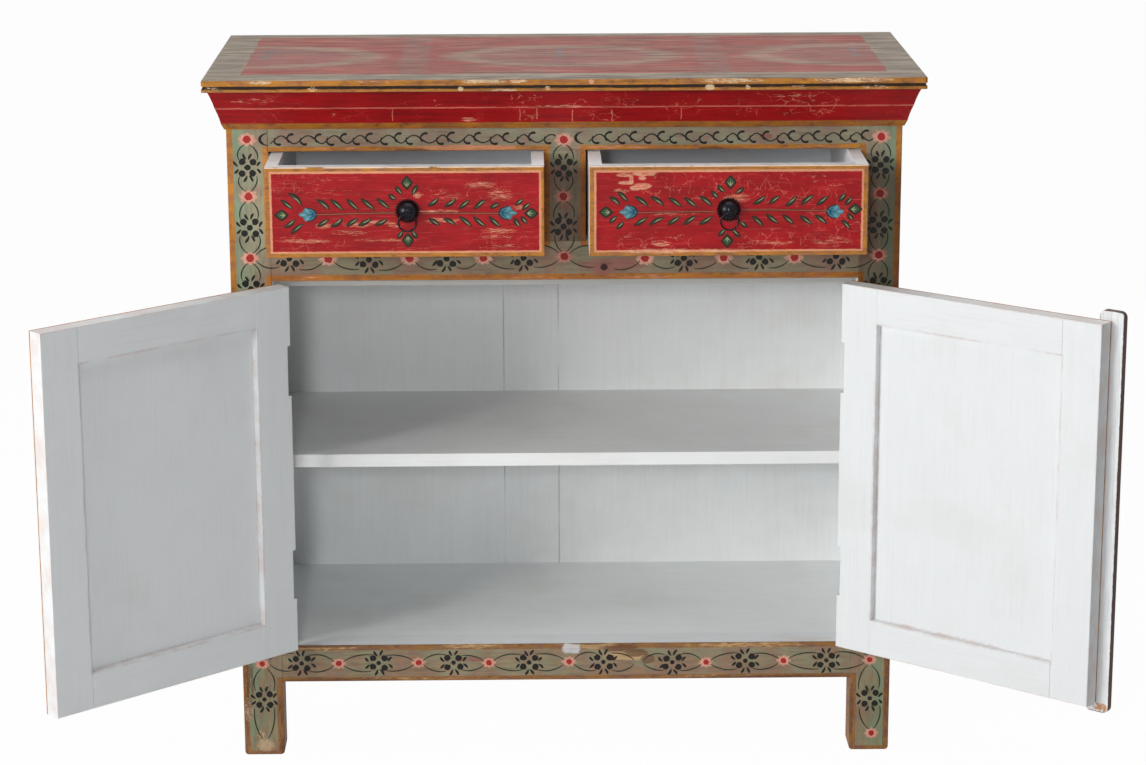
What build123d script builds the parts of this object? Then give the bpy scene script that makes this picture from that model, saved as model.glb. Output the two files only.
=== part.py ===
from build123d import *
import os

# A painted wooden cabinet on four feet: two drawers over a cupboard with a pair of framed doors.
# Millimetres. x runs along the front, y from the front to the back, z up from the floor. Every piece
# is modelled shut, with y = 0 on the front of the face frame. Doors and drawers are then opened by
# DOOR_OPEN and DRAWER_OPEN, and save() puts the origin on the floor in the middle of the four feet.

# ---- Carcass ----
CASE_W = 880.0  # over the posts
CASE_D = 388.0
POST_W = 54.0  # front posts, seen from the front
POST_D = 45.0
BACK_POST_W = 30.0
BACK_POST_D = 54.0
FOOT_H = 105.0  # clear height under the bottom rails
FOOT_R = 5.0  # worn bottom corners of the front feet
RAIL_H = 51.5  # bottom and middle rails
RAIL_T = 40.0
TOP_RAIL_SHOW = 30.0  # the part of the top rail below the cornice
TOP_RAIL_T = 25.0
DOORWAY_H = 506.0
BAY_H = 121.0  # opening of a drawer
DIVIDER_W = 54.6
SIDE_RAIL_T = 22.0
SIDE_PANEL_T = 8.0
SIDE_PANEL_SET = 10.0  # how far the side panels lie behind the outside of the posts
BACK_BOARD_T = 12.0
BACK_RAIL_T = 14.0
BACK_SEAMS = (-85.0, -6.0)  # x of the joints between the back boards
EDGE_R = 1.2  # softened arrises
TENON_L = 22.0
TENON_T = 12.0
TENON_SHOULDER = 9.0  # above and below a tenon
SMALL_TENON_L = 14.0
SMALL_TENON_T = 6.0
GROOVE = 6.0  # depth of the panel grooves

# ---- Inside the carcass ----
FLOOR_T = 18.0
SHELF_ABOVE_FLOOR = 261.5  # floor to the top of the shelf
SHELF_T = 18.0
CLEAT = 18.0
DOOR_STOP_H = 12.5
STOP_GAP = 2.0  # door to its stop, and to the shelf's front edge
RUNNER_T = 20.0
RUNNER_REACH = 26.0  # how far a runner reaches under a drawer
GUIDE_H = 25.0
DRAWER_STOP = (30.0, 16.0, 5.0)
DRAWER_STOP_SPREAD = 180.0

# ---- Top and cornice ----
TOP_T = 16.0
TOP_OVERHANG = 28.0  # at the front and the sides
TOP_BACK_OVERHANG = 2.0
TOP_SEAM = 212.0  # y of the joint between the two boards
TOP_CORNER_R = 4.0
TOP_EDGE_R = 2.5
TOP_QUIRK = (3.5, 4.5, 2.0)  # groove round the edge: height above the underside, width, depth
CORNICE_H = 52.0
CORNICE_FOOT = 2.0  # how far the cornice stands out at its foot, above its fillet and at its head
CORNICE_FILLET = (5.5, 7.5)  # reach and height of the sloping fillet
CORNICE_BREAK = (12.5, 29.0)  # reach and height of the arris between its two hollow faces
CORNICE_HEAD = 21.0
CORNICE_HOLLOW = 0.6  # depth of each hollow

# ---- Doors ----
DOOR_OPEN = {"left": 138.3, "right": 140.7}  # degrees from shut
DOOR_T = 25.0
DOOR_EDGE_GAP = 1.5  # at the hinges
DOOR_MEETING_GAP = 1.0
DOOR_FOOT_GAP = 3.0
DOOR_HEAD_GAP = 2.0
STILE_W = 55.0
DOOR_RAIL_H = 48.0
DOOR_PANEL_T = 9.0
DOOR_PANEL_RECESS = 9.0  # behind the inner face
PANEL_JOINT = 96.0  # width of the narrow board in the right door's panel, with its tongue
STRIP_W = 34.0
STRIP_T = 10.0
STRIP_SEAT = 0.3  # its back stands this far off, so that it clears the frame and the left door
STRIP_LAP = 17.0  # on the right door
STRIP_PAST = 13.0  # past the door's head and foot
STRIP_END_R = 8.0
STRIP_EDGE_R = 2.0

# ---- Butt hinges ----
HINGE_L = 65.0
HINGE_FROM_HEAD = 113.0  # door's head to the middle of the upper hinge
HINGE_FROM_FOOT = 107.0
KNUCKLES = 5
KNUCKLE_R = 4.0
KNUCKLE_GAP = 0.3
PIN_R = 2.0
PIN_FIT = 0.05
PIN_HEAD_R = 3.2
PIN_HEAD_H = 2.5
LEAF_T = 2.0
LEAF_SPACE = 3.0  # between the two leaves of a shut hinge
LEAF_D = 22.0  # how deep a leaf reaches behind the front of the frame
AXIS_OUT = 4.5  # pin's axis in front of the face frame
GAIN_CLEAR = 1.5  # above and below a leaf in the door's edge
SCREW_R = 1.6
SCREW_HEAD_R = 3.4
SCREW_L = 16.0
SCREW_PITCH = 21.0
SCREW_ROWS = (15.0, 8.0, 15.0)  # depth of the three screws behind the front of the frame

# ---- Drawers ----
DRAWER_OPEN = {"left": 101.0, "right": 104.0}
DRAWER_PLAY = 3.2  # bay to drawer, both sides together
DRAWER_LEAN = 1.2  # each drawer lies this far right of the middle of its bay
DRAWER_FOOT_GAP = 1.5
DRAWER_HEAD_GAP = 2.5
DRAWER_RUN_GAP = 0.3  # sides to runners
DRAWER_D = 345.0
DRAWER_FRONT_T = 18.0
DRAWER_SIDE_T = 16.0
DRAWER_LAP = 10.0  # depth of the rebates that take the sides
DRAWER_BACK_T = 14.0
DRAWER_BACK_DROP = 8.0  # the back is lower than the sides
DRAWER_BOTTOM_T = 8.0
DRAWER_BOTTOM_UP = 9.0

# ---- Ring pulls ----
BOSS_R = 14.2  # dome where it meets its flange
BOSS_H = 13.0
FLANGE_R = 15.8
FLANGE_T = 1.2
SCALLOPS = 24  # round the rim of the flange
SCALLOP_R = 1.2
EYE_R = 3.0  # middle of the eye's wire
EYE_WIRE_R = 0.9
EYE_SUNK = 1.5  # in the top of the dome
RING_R = 11.2  # middle of the ring's wire
RING_WIRE_R = 1.1
RING_GAP = 0.3  # between the ring and its eye
SHANK_R = 3.0
SHANK_FIT = 0.05
SHANK_PAST = 9.0  # how far a drawer pull's shank shows inside
WASHER_R = 9.0
WASHER_T = 1.5
NUT_R = 6.5
NUT_T = 5.0
PULL_UP = 1.5  # drawer pulls above the middle of the front
PULL_RIGHT = {"left": 3.4, "right": 0.0}  # drawer pulls right of the middle of the front
DOOR_PULL_IN = 36.0  # a door's pull from the door's meeting edge
DOOR_SHANK_L = 19.0  # a door pull's shank stops inside the stile

# ---- Places worked out from those sizes ----
HALF = CASE_W / 2
INNER = HALF - POST_W  # half the clear width between the front posts
BACK_INNER = HALF - BACK_POST_W
BACK_POST_Y = CASE_D - BACK_POST_D
BOARD_Y = CASE_D - BACK_RAIL_T - BACK_BOARD_T  # front of the back boards
FLOOR_Z = FOOT_H + RAIL_H
DOORWAY_Z = FLOOR_Z + DOORWAY_H
BAY_Z = DOORWAY_Z + RAIL_H
BAY_TOP = BAY_Z + BAY_H
CORNICE_Z = BAY_TOP + TOP_RAIL_SHOW
FRAME_Z = CORNICE_Z + CORNICE_H
PANEL_X = HALF - SIDE_PANEL_SET - SIDE_PANEL_T  # inner face of the side panels
SHELF_Z = FLOOR_Z + SHELF_ABOVE_FLOOR
FRONT_RAILS = {
    "top": ((BAY_TOP, FRAME_Z), TOP_RAIL_T),
    "middle": ((DOORWAY_Z, BAY_Z), RAIL_T),
    "bottom": ((FOOT_H, FLOOR_Z), RAIL_T),
}
RAIL_LEVELS = [level for level, thick in FRONT_RAILS.values()]
DOOR_W = INNER - DOOR_EDGE_GAP - DOOR_MEETING_GAP / 2
DOOR_Z = (FLOOR_Z + DOOR_FOOT_GAP, DOORWAY_Z - DOOR_HEAD_GAP)
AXIS_X = INNER - LEAF_T - LEAF_SPACE / 2  # half the distance between the two doors' pins
DRAWER_Z = (BAY_Z + DRAWER_FOOT_GAP, BAY_TOP - DRAWER_HEAD_GAP)
EYE_OUT = FLANGE_T + BOSS_H + EYE_R + EYE_WIRE_R - EYE_SUNK  # middle of the eye in front of the wood
RING_DROP = EYE_R - EYE_WIRE_R - RING_WIRE_R - RING_GAP  # the ring's wire below the middle of the eye
BAY_X = {"left": (-INNER, -DIVIDER_W / 2), "right": (DIVIDER_W / 2, INNER)}


# ---- Helpers ----
def block(x, y, z):
    """A box from three (low, high) pairs."""
    spans = (x, y, z)
    middle = [(low + high) / 2 for low, high in spans]
    return Pos(*middle) * Box(*[high - low for low, high in spans])


def flip(part):
    """The same piece on the other side of the cabinet's middle."""
    return mirror(part, about=Plane.YZ)


def pair(part):
    """A left piece and its right twin."""
    return [part, flip(part)]


def both_sides(pieces):
    return [twin for piece in pieces for twin in pair(piece)]


def ease_front(part, along):
    """Rounds the front edges of a piece that run along one axis."""
    return fillet(part.edges().filter_by(along).group_by(Axis.Y)[0], EDGE_R)


def centred(middle, size):
    return (middle - size / 2, middle + size / 2)


def inset(span, by):
    return (span[0] + by, span[1] - by)


def cut(part, *others):
    for other in others:
        part = part - other
    return part


# ---- Joints between the carcass pieces ----
def front_tenon(name):
    """Tenon of a front rail in the left post."""
    level, thick = FRONT_RAILS[name]
    return block((-INNER - TENON_L, -INNER), centred(thick / 2, TENON_T), inset(level, TENON_SHOULDER))


def side_tenons(level):
    """Tenons of a left side rail, in the front post and in the back post."""
    x = centred(-HALF + SIDE_RAIL_T / 2, SMALL_TENON_T)
    z = inset(level, TENON_SHOULDER)
    front = block(x, (POST_D - SMALL_TENON_L, POST_D), z)
    back = block(x, (BACK_POST_Y, BACK_POST_Y + SMALL_TENON_L), z)
    return front, back


def back_tenon(level):
    """Tenon of a back rail in the left back post."""
    y = centred(CASE_D - BACK_RAIL_T / 2, SMALL_TENON_T)
    return block((-BACK_INNER - SMALL_TENON_L, -BACK_INNER), y, inset(level, TENON_SHOULDER))


def divider_tenon(low, high):
    return block(centred(0, DIVIDER_W - 2 * TENON_SHOULDER), centred(TOP_RAIL_T / 2, TENON_T), (low, high))


def side_panels():
    """The left side's upper and lower panels, with their tongues."""
    x = (-PANEL_X - SIDE_PANEL_T, -PANEL_X)
    y = (POST_D - GROOVE, BACK_POST_Y + GROOVE)
    lower = block(x, y, (FLOOR_Z - GROOVE, DOORWAY_Z + GROOVE))
    upper = block(x, y, (BAY_Z - GROOVE, BAY_TOP + GROOVE))
    return lower, upper


def back_boards():
    edges = (-BACK_INNER - GROOVE, *BACK_SEAMS, BACK_INNER + GROOVE)
    y = (BOARD_Y, BOARD_Y + BACK_BOARD_T)
    return [block(x, y, (FOOT_H, FRAME_Z)) for x in zip(edges, edges[1:])]


# ---- Carcass pieces ----
def front_post():
    post = block((-HALF, -INNER), (0, POST_D), (0, FRAME_Z))
    post = fillet(post.edges().filter_by(Axis.Y).group_by(Axis.Z)[0], FOOT_R)
    outline = post.faces().sort_by(Axis.Y)[0].edges().group_by(Axis.Z)[:-1]
    post = fillet([edge for group in outline for edge in group], EDGE_R)
    post = cut(post, *[front_tenon(name) for name in FRONT_RAILS])
    post = cut(post, *[side_tenons(level)[0] for level in RAIL_LEVELS])
    return cut(post, *side_panels(), *screws("post"))


def back_post():
    post = block((-HALF, -BACK_INNER), (BACK_POST_Y, CASE_D), (0, FRAME_Z))
    post = cut(post, *[side_tenons(level)[1] for level in RAIL_LEVELS])
    post = cut(post, *[back_tenon(level) for level in back_levels()])
    return cut(post, *side_panels(), back_boards()[0])


def back_levels():
    return (FOOT_H, FLOOR_Z), (FRAME_Z - RAIL_H, FRAME_Z)


def front_rail(name):
    level, thick = FRONT_RAILS[name]
    rail = ease_front(block((-INNER, INNER), (0, thick), level), Axis.X)
    for tenon in pair(front_tenon(name)):
        rail = rail + tenon
    if name == "middle":
        rail = cut(rail, divider_tenon(BAY_Z - TENON_L, BAY_Z))
    if name == "top":
        rail = cut(rail, divider_tenon(BAY_TOP, BAY_TOP + TENON_L))
    return rail


def drawer_divider():
    divider = block(centred(0, DIVIDER_W), (0, TOP_RAIL_T), (BAY_Z, BAY_TOP))
    divider = ease_front(divider, Axis.Z)
    return divider + divider_tenon(BAY_Z - TENON_L, BAY_Z) + divider_tenon(BAY_TOP, BAY_TOP + TENON_L)


def side_rails():
    rails = []
    for level in RAIL_LEVELS:
        rail = block((-HALF, -HALF + SIDE_RAIL_T), (POST_D, BACK_POST_Y), level)
        for tenon in side_tenons(level):
            rail = rail + tenon
        rails.append(cut(rail, *side_panels()))
    return rails


def back_rails():
    rails = []
    for level in back_levels():
        rail = block((-BACK_INNER, BACK_INNER), (BOARD_Y + BACK_BOARD_T, CASE_D), level)
        for tenon in pair(back_tenon(level)):
            rail = rail + tenon
        rails.append(rail)
    return rails


def clear_of_posts(part):
    """Notches a board round the four posts."""
    front = block((-HALF, -INNER), (0, POST_D), (0, FRAME_Z))
    back = block((-HALF, -BACK_INNER), (BACK_POST_Y, CASE_D), (0, FRAME_Z))
    return cut(part, *pair(front), *pair(back))


def floor_boards():
    x = (-HALF + SIDE_RAIL_T, HALF - SIDE_RAIL_T)
    seam = (RAIL_T + BOARD_Y) / 2
    rows = ((RAIL_T, seam), (seam, BOARD_Y))
    return [clear_of_posts(block(x, y, (FLOOR_Z - FLOOR_T, FLOOR_Z))) for y in rows]


def floor_cleats():
    z = (FLOOR_Z - FLOOR_T - CLEAT, FLOOR_Z - FLOOR_T)
    side = block((-HALF + SIDE_RAIL_T, -HALF + SIDE_RAIL_T + CLEAT), (POST_D, BACK_POST_Y), z)
    front = block((-INNER, INNER), (RAIL_T, RAIL_T + CLEAT), z)
    return [*pair(side), cut(front, *pair(side))]


def shelf():
    y = (DOOR_T + STOP_GAP, BOARD_Y)
    board = clear_of_posts(block((-PANEL_X, PANEL_X), y, (SHELF_Z - SHELF_T, SHELF_Z)))
    return ease_front(board, Axis.X)


def shelf_cleats():
    z = (SHELF_Z - SHELF_T - CLEAT, SHELF_Z - SHELF_T)
    return pair(block((-PANEL_X, -PANEL_X + CLEAT), (POST_D, BACK_POST_Y), z))


def door_stop():
    z = (DOORWAY_Z - DOOR_STOP_H, DOORWAY_Z)
    return block((-INNER, INNER), (DOOR_T + STOP_GAP, RAIL_T), z)


# ---- Drawer supports ----
def bearers(front, z):
    """Two side strips and a middle strip under or over the drawers' sides."""
    side = clear_of_posts(block((-BACK_INNER, -INNER + RUNNER_REACH), (front, BOARD_Y), z))
    middle = block(centred(0, DIVIDER_W + 2 * RUNNER_REACH), (front, BOARD_Y), z)
    return [*pair(side), middle]


def drawer_runners():
    return bearers(RAIL_T, (BAY_Z - RUNNER_T, BAY_Z))


def drawer_kickers():
    return bearers(TOP_RAIL_T, (BAY_TOP, BAY_TOP + RUNNER_T))


def drawer_guides():
    z = (BAY_Z, BAY_Z + GUIDE_H)
    side = clear_of_posts(block((-BACK_INNER, -INNER), (RAIL_T, BOARD_Y), z))
    return [*pair(side), block(centred(0, DIVIDER_W), (RAIL_T, BOARD_Y), z)]


def drawer_stops():
    wide, deep, high = DRAWER_STOP
    front = DRAWER_FRONT_T + DRAWER_RUN_GAP
    stops = []
    for bay in BAY_X.values():
        for side in (-1, 1):
            middle = sum(bay) / 2 + side * DRAWER_STOP_SPREAD / 2
            stops.append(block(centred(middle, wide), (front, front + deep), (BAY_Z, BAY_Z + high)))
    return stops


# ---- Top and cornice ----
def top_board(y):
    """A board of the top, with the quirk round its outer edges."""
    low, high = FRAME_Z, FRAME_Z + TOP_T
    reach = HALF + TOP_OVERHANG
    board = block((-reach, reach), y, (low, high))
    outer = [edge for edge in board.edges().filter_by(Axis.Z) if y[0] < 0 and edge.center().Y < 0]
    if outer:
        board = fillet(outer, TOP_CORNER_R)
    up, wide, deep = TOP_QUIRK
    z = (low + up, low + up + wide)
    inner = block((-reach + deep, reach - deep), (-TOP_OVERHANG + deep, CASE_D + TOP_BACK_OVERHANG), z)
    board = cut(board, block((-reach, reach), y, z) - inner)
    rim = [edge for edge in board.edges().group_by(Axis.Z)[-1] if is_outer(edge, reach, y)]
    return fillet(rim, TOP_EDGE_R)


def is_outer(edge, reach, y):
    """Whether an edge of a top board lies on the outside of the top, and not on the seam."""
    middle = edge.center()
    on_seam = abs(middle.Y - TOP_SEAM) < 1e-6
    return not on_seam and (abs(middle.X) > reach - TOP_CORNER_R or min(abs(middle.Y - end) for end in y) < 1e-6)


def cornice_profile():
    """Section of the cornice: u is its reach from the frame, v its height."""
    fillet_u, fillet_v = CORNICE_FILLET
    break_u, break_v = CORNICE_BREAK
    foot, head = (CORNICE_FOOT, 0), (CORNICE_HEAD, CORNICE_H)
    lower, arris = (fillet_u, fillet_v), (break_u, break_v)
    lines = [
        Line((0, 0), foot),
        Line(foot, lower),
        hollow(lower, arris),
        hollow(arris, head),
        Line(head, (0, CORNICE_H)),
        Line((0, CORNICE_H), (0, 0)),
    ]
    return make_face(lines)


def hollow(low, high):
    """A shallow arc between two points of the section, bowed towards the frame."""
    middle = ((low[0] + high[0]) / 2 - CORNICE_HOLLOW, (low[1] + high[1]) / 2)
    return ThreePointArc(low, middle, high)


def cornice_run(length):
    """The section drawn out along x, its back on y = 0 and its reach towards -y."""
    plane = Plane(origin=(-length / 2, 0, CORNICE_Z), x_dir=(0, -1, 0), z_dir=(-1, 0, 0))
    return extrude(plane * cornice_profile(), -length)


def cornice(side):
    """One mitred length of the cornice, for the front or the left side."""
    reach = CORNICE_HEAD
    corner = (-HALF, 0)
    tip = (-HALF - reach, -reach)
    if side == "front":
        run = cornice_run(CASE_W + 2 * reach)
        plan = [corner, tip, (HALF + reach, -reach), (HALF, 0)]
    else:
        length = 2 * (CASE_D + reach)
        run = Pos(-HALF, 0, 0) * Rot(0, 0, -90) * cornice_run(length)
        plan = [corner, tip, (-HALF - reach, CASE_D), (-HALF, CASE_D)]
    keep = extrude(make_face(Polyline(*plan, close=True)), FRAME_Z)
    return run & keep


# ---- Hinges, on the left door; the right door's are their twins ----
def hinge_heights():
    return (DOOR_Z[0] + HINGE_FROM_FOOT, DOOR_Z[1] - HINGE_FROM_HEAD)


def rod(radius, z):
    """A round bar on the left pin's axis."""
    return Pos(-AXIS_X, -AXIS_OUT, sum(z) / 2) * Cylinder(radius, z[1] - z[0])


def knuckle_spans(middle, owner):
    """Heights of the knuckles that belong to the post's leaf or to the door's."""
    pitch = HINGE_L / KNUCKLES
    low = middle - HINGE_L / 2
    first = 0 if owner == "post" else 1
    return [inset((low + i * pitch, low + (i + 1) * pitch), KNUCKLE_GAP / 2) for i in range(first, KNUCKLES, 2)]


def leaf_x(owner):
    """Where a leaf lies across the gap between post and door."""
    near = LEAF_SPACE / 2
    return (-AXIS_X - near - LEAF_T, -AXIS_X - near) if owner == "post" else (-AXIS_X + near, -AXIS_X + near + LEAF_T)


def hinge_leaf(middle, owner):
    other = "door" if owner == "post" else "post"
    leaf = block(leaf_x(owner), (-AXIS_OUT, LEAF_D), centred(middle, HINGE_L))
    for z in knuckle_spans(middle, other):
        leaf = leaf - rod(KNUCKLE_R + KNUCKLE_GAP, inset(z, -KNUCKLE_GAP))
    for z in knuckle_spans(middle, owner):
        leaf = leaf + rod(KNUCKLE_R, z)
    leaf = leaf - rod(PIN_R + PIN_FIT, centred(middle, 2 * HINGE_L))
    return cut(leaf, *hinge_screws(middle, owner))


def hinge_leaves(owner):
    return [hinge_leaf(middle, owner) for middle in hinge_heights()]


def hinge_pins():
    pins = []
    for middle in hinge_heights():
        pin = rod(PIN_R, centred(middle, HINGE_L))
        for end in (-1, 1):
            foot = middle + end * HINGE_L / 2
            pin = pin + rod(PIN_HEAD_R, sorted((foot, foot + end * PIN_HEAD_H)))
        pins.append(pin)
    return pins


def screw(length):
    """A countersunk screw along +z, its flat head on z = 0 and its point at -length."""
    head = Pos(0, 0, -LEAF_T / 2) * Cone(SCREW_R, SCREW_HEAD_R, LEAF_T)
    return head + Pos(0, 0, -length / 2) * Cylinder(SCREW_R, length)


def hinge_screws(middle, owner):
    """The three screws of one leaf, from the space between the leaves into the wood."""
    near = LEAF_SPACE / 2
    x, turn = (-AXIS_X - near, 90) if owner == "post" else (-AXIS_X + near, -90)
    made = []
    for i, y in enumerate(SCREW_ROWS):
        z = middle + (i - (len(SCREW_ROWS) - 1) / 2) * SCREW_PITCH
        made.append(Pos(x, y, z) * Rot(0, turn, 0) * screw(SCREW_L))
    return made


def screws(owner):
    return [one for middle in hinge_heights() for one in hinge_screws(middle, owner)]


# ---- Doors, modelled as the left one ----
def door_span():
    left = -INNER + DOOR_EDGE_GAP
    return left, left + DOOR_W


def panel_block():
    x = inset(door_span(), STILE_W - GROOVE)
    z = inset(DOOR_Z, DOOR_RAIL_H - GROOVE)
    back = DOOR_T - DOOR_PANEL_RECESS
    return block(x, (back - DOOR_PANEL_T, back), z)


def door_tenons(z):
    """Tenons of a door rail in the hinge stile and in the meeting stile."""
    left, right = inset(door_span(), STILE_W)
    y = centred(DOOR_T / 2, DOOR_PANEL_T)
    z = inset(z, TENON_SHOULDER)
    return block((left - TENON_L, left), y, z), block((right, right + TENON_L), y, z)


def door_rail_levels():
    low, high = DOOR_Z
    return {"top": (high - DOOR_RAIL_H, high), "bottom": (low, low + DOOR_RAIL_H)}


def hinge_stile():
    left = door_span()[0]
    stile = block((left, left + STILE_W), (0, DOOR_T), DOOR_Z)
    stile = fillet(stile.edges().filter_by(Axis.Z), EDGE_R)
    leaf_seat = leaf_x("door")[1]
    for middle in hinge_heights():
        gain = block((left, leaf_seat), (0, DOOR_T), centred(middle, HINGE_L + 2 * GAIN_CLEAR))
        stile = stile - gain
    stile = cut(stile, *[door_tenons(z)[0] for z in door_rail_levels().values()])
    return cut(stile, panel_block(), *screws("door"))


def meeting_stile():
    right = door_span()[1]
    stile = block((right - STILE_W, right), (0, DOOR_T), DOOR_Z)
    stile = fillet(stile.edges().filter_by(Axis.Z), EDGE_R)
    stile = cut(stile, *[door_tenons(z)[1] for z in door_rail_levels().values()])
    x, z = door_pull_place()
    return cut(stile, panel_block(), shank_hole(x, z, DOOR_SHANK_L))


def door_rail(name):
    z = door_rail_levels()[name]
    rail = block(inset(door_span(), STILE_W), (0, DOOR_T), z)
    for tenon in door_tenons(z):
        rail = rail + tenon
    return cut(rail, panel_block())


def right_panel_boards():
    """The right door's panel: a narrow board beside the hinges and a wide one."""
    panel = flip(panel_block())
    box = panel.bounding_box()
    seam = box.max.X - PANEL_JOINT
    narrow = block((seam, box.max.X), (box.min.Y, box.max.Y), (box.min.Z, box.max.Z))
    return narrow, panel - narrow


def meeting_strip():
    """Covers the gap between the doors; it is on the right door's outer face."""
    edge = DOOR_MEETING_GAP / 2
    x = (edge + STRIP_LAP - STRIP_W, edge + STRIP_LAP)
    strip = block(x, (-STRIP_SEAT - STRIP_T, -STRIP_SEAT), inset(DOOR_Z, -STRIP_PAST))
    strip = fillet(strip.edges().filter_by(Axis.Y), STRIP_END_R)
    return fillet(strip.faces().sort_by(Axis.Y)[0].edges(), STRIP_EDGE_R)


def door_pull_place():
    return door_span()[1] - DOOR_PULL_IN, sum(DOOR_Z) / 2


# ---- Ring pulls, worked out facing up and then stood up ----
def stand_up(x, z):
    """Turns a pull that faces up so that it faces the front, at that place on the wood."""
    return Pos(x, 0, z) * Rot(90, 0, 0)


def shank_hole(x, z, depth):
    """A hole for a pull's shank, that deep from the front, with room at its end."""
    return stand_up(x, z) * Pos(0, 0, -depth / 2) * Cylinder(SHANK_R + SHANK_FIT, depth + 2 * SHANK_FIT)


def flange():
    """The thin plate against the wood, its rim scalloped."""
    plate = Pos(0, 0, FLANGE_T / 2) * Cylinder(FLANGE_R, FLANGE_T)
    return cut(plate, *[place * Cylinder(SCALLOP_R, 4 * FLANGE_T) for place in PolarLocations(FLANGE_R, SCALLOPS)])


def dome():
    """A cap of a ball, as high as BOSS_H and BOSS_R wide at its foot."""
    ball_r = (BOSS_R**2 + BOSS_H**2) / (2 * BOSS_H)
    ball = Pos(0, 0, FLANGE_T + BOSS_H - ball_r) * Sphere(ball_r)
    return ball & block((-ball_r, ball_r), (-ball_r, ball_r), (FLANGE_T / 2, FLANGE_T + BOSS_H))


def boss(x, z, shank_l):
    """Flange, dome, the eye that holds the ring, and the shank, all of one piece."""
    eye = Pos(0, 0, EYE_OUT) * Rot(0, 90, 0) * Torus(EYE_R, EYE_WIRE_R)
    shank = Pos(0, 0, -shank_l / 2) * Cylinder(SHANK_R, shank_l)
    return stand_up(x, z) * (flange() + dome() + eye + shank)


def ring(x, z):
    """The ring hangs in its eye, flat to the wood."""
    return Pos(x, -EYE_OUT, z - RING_DROP - RING_R) * Rot(90, 0, 0) * Torus(RING_R, RING_WIRE_R)


def boss_fixings(x, z):
    """The washer and the nut that hold a drawer's pull, behind the drawer's front."""
    place = Pos(0, DRAWER_FRONT_T, 0) * stand_up(x, z)
    bore = Cylinder(SHANK_R + SHANK_FIT, 4 * SHANK_PAST)
    washer = Pos(0, 0, -WASHER_T / 2) * Cylinder(WASHER_R, WASHER_T) - bore
    nut = extrude(Pos(0, 0, -WASHER_T) * RegularPolygon(NUT_R, 6), -NUT_T) - bore
    return [place * washer, place * nut]


# ---- Drawers ----
def drawer_x(side):
    middle = sum(BAY_X[side]) / 2 + DRAWER_LEAN
    width = BAY_X[side][1] - BAY_X[side][0] - DRAWER_PLAY
    return centred(middle, width)


def drawer_bottom(side):
    x = inset(drawer_x(side), DRAWER_SIDE_T - GROOVE)
    low = BAY_Z + DRAWER_BOTTOM_UP
    return block(x, (DRAWER_FRONT_T - GROOVE, DRAWER_D), (low, low + DRAWER_BOTTOM_T))


def drawer_pull_place(side):
    return sum(drawer_x(side)) / 2 + PULL_RIGHT[side], sum(DRAWER_Z) / 2 + PULL_UP


def drawer_side_blocks(side):
    low, high = drawer_x(side)
    y = (DRAWER_FRONT_T - DRAWER_LAP, DRAWER_D)
    z = (BAY_Z + DRAWER_RUN_GAP, DRAWER_Z[1])
    return [block(x, y, z) for x in ((low, low + DRAWER_SIDE_T), (high - DRAWER_SIDE_T, high))]


def drawer_sides(side):
    return [cut(piece, drawer_bottom(side), drawer_back_block(side)) for piece in drawer_side_blocks(side)]


def drawer_front(side):
    front = block(drawer_x(side), (0, DRAWER_FRONT_T), DRAWER_Z)
    front = fillet(front.faces().sort_by(Axis.Y)[0].edges(), EDGE_R)
    x, z = drawer_pull_place(side)
    hole = shank_hole(x, z, DRAWER_FRONT_T)
    return cut(front, *drawer_side_blocks(side), drawer_bottom(side), hole)


def drawer_back_block(side):
    """The back stands on the bottom, housed in the sides."""
    x = inset(drawer_x(side), DRAWER_SIDE_T - GROOVE)
    z = (BAY_Z + DRAWER_BOTTOM_UP + DRAWER_BOTTOM_T, DRAWER_Z[1] - DRAWER_BACK_DROP)
    return block(x, (DRAWER_D - DRAWER_BACK_T, DRAWER_D), z)


# ---- Placing and saving ----
def swing(side):
    """Turns a door piece from shut to its open angle about its own pin."""
    sign = -1 if side == "left" else 1
    x, y = sign * AXIS_X, -AXIS_OUT
    turn = Rot(0, 0, sign * DOOR_OPEN[side])
    return Pos(x, y, 0) * turn * Pos(-x, -y, 0)


def pull(side):
    return Pos(0, -DRAWER_OPEN[side], 0)


def save(name, pieces, place=Pos(0, 0, 0)):
    """Writes one node, with the origin on the floor in the middle of the feet."""
    pieces = pieces if isinstance(pieces, list) else [pieces]
    move = Pos(0, -CASE_D / 2, 0) * place
    solids = [solid for piece in pieces for solid in (move * piece).solids()]
    shape = solids[0] if len(solids) == 1 else Compound(children=solids)
    export_step(shape, f"parts/{name}.step")


def save_carcass():
    for side, turn in (("left", lambda part: part), ("right", flip)):
        save(f"post_front_{side}", turn(front_post()))
        save(f"post_back_{side}", turn(back_post()))
    for name in FRONT_RAILS:
        save(f"rail_front_{name}", front_rail(name))
    save("side_rails", both_sides(side_rails()))
    save("side_panels", both_sides(side_panels()))
    save("cornice_sides", pair(cornice("left")))
    save("drawer_divider", drawer_divider())
    save("back_rails", back_rails())
    save("back_boards", back_boards())
    save("floor_boards", floor_boards())
    save("floor_cleats", floor_cleats())
    save("shelf", shelf())
    save("shelf_cleats", shelf_cleats())
    save("door_stop", door_stop())
    save("drawer_runners", drawer_runners())
    save("drawer_guides", drawer_guides())
    save("drawer_kickers", drawer_kickers())
    save("drawer_stops", drawer_stops())
    save("cornice_front", cornice("front"))
    save("top_board_front", top_board((-TOP_OVERHANG, TOP_SEAM)))
    save("top_board_back", top_board((TOP_SEAM, CASE_D + TOP_BACK_OVERHANG)))


def save_fixed_hinge_parts():
    save("post_hinge_leaves", both_sides(hinge_leaves("post")))
    save("post_hinge_screws", both_sides(screws("post")))
    save("hinge_pins", both_sides(hinge_pins()))


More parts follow.
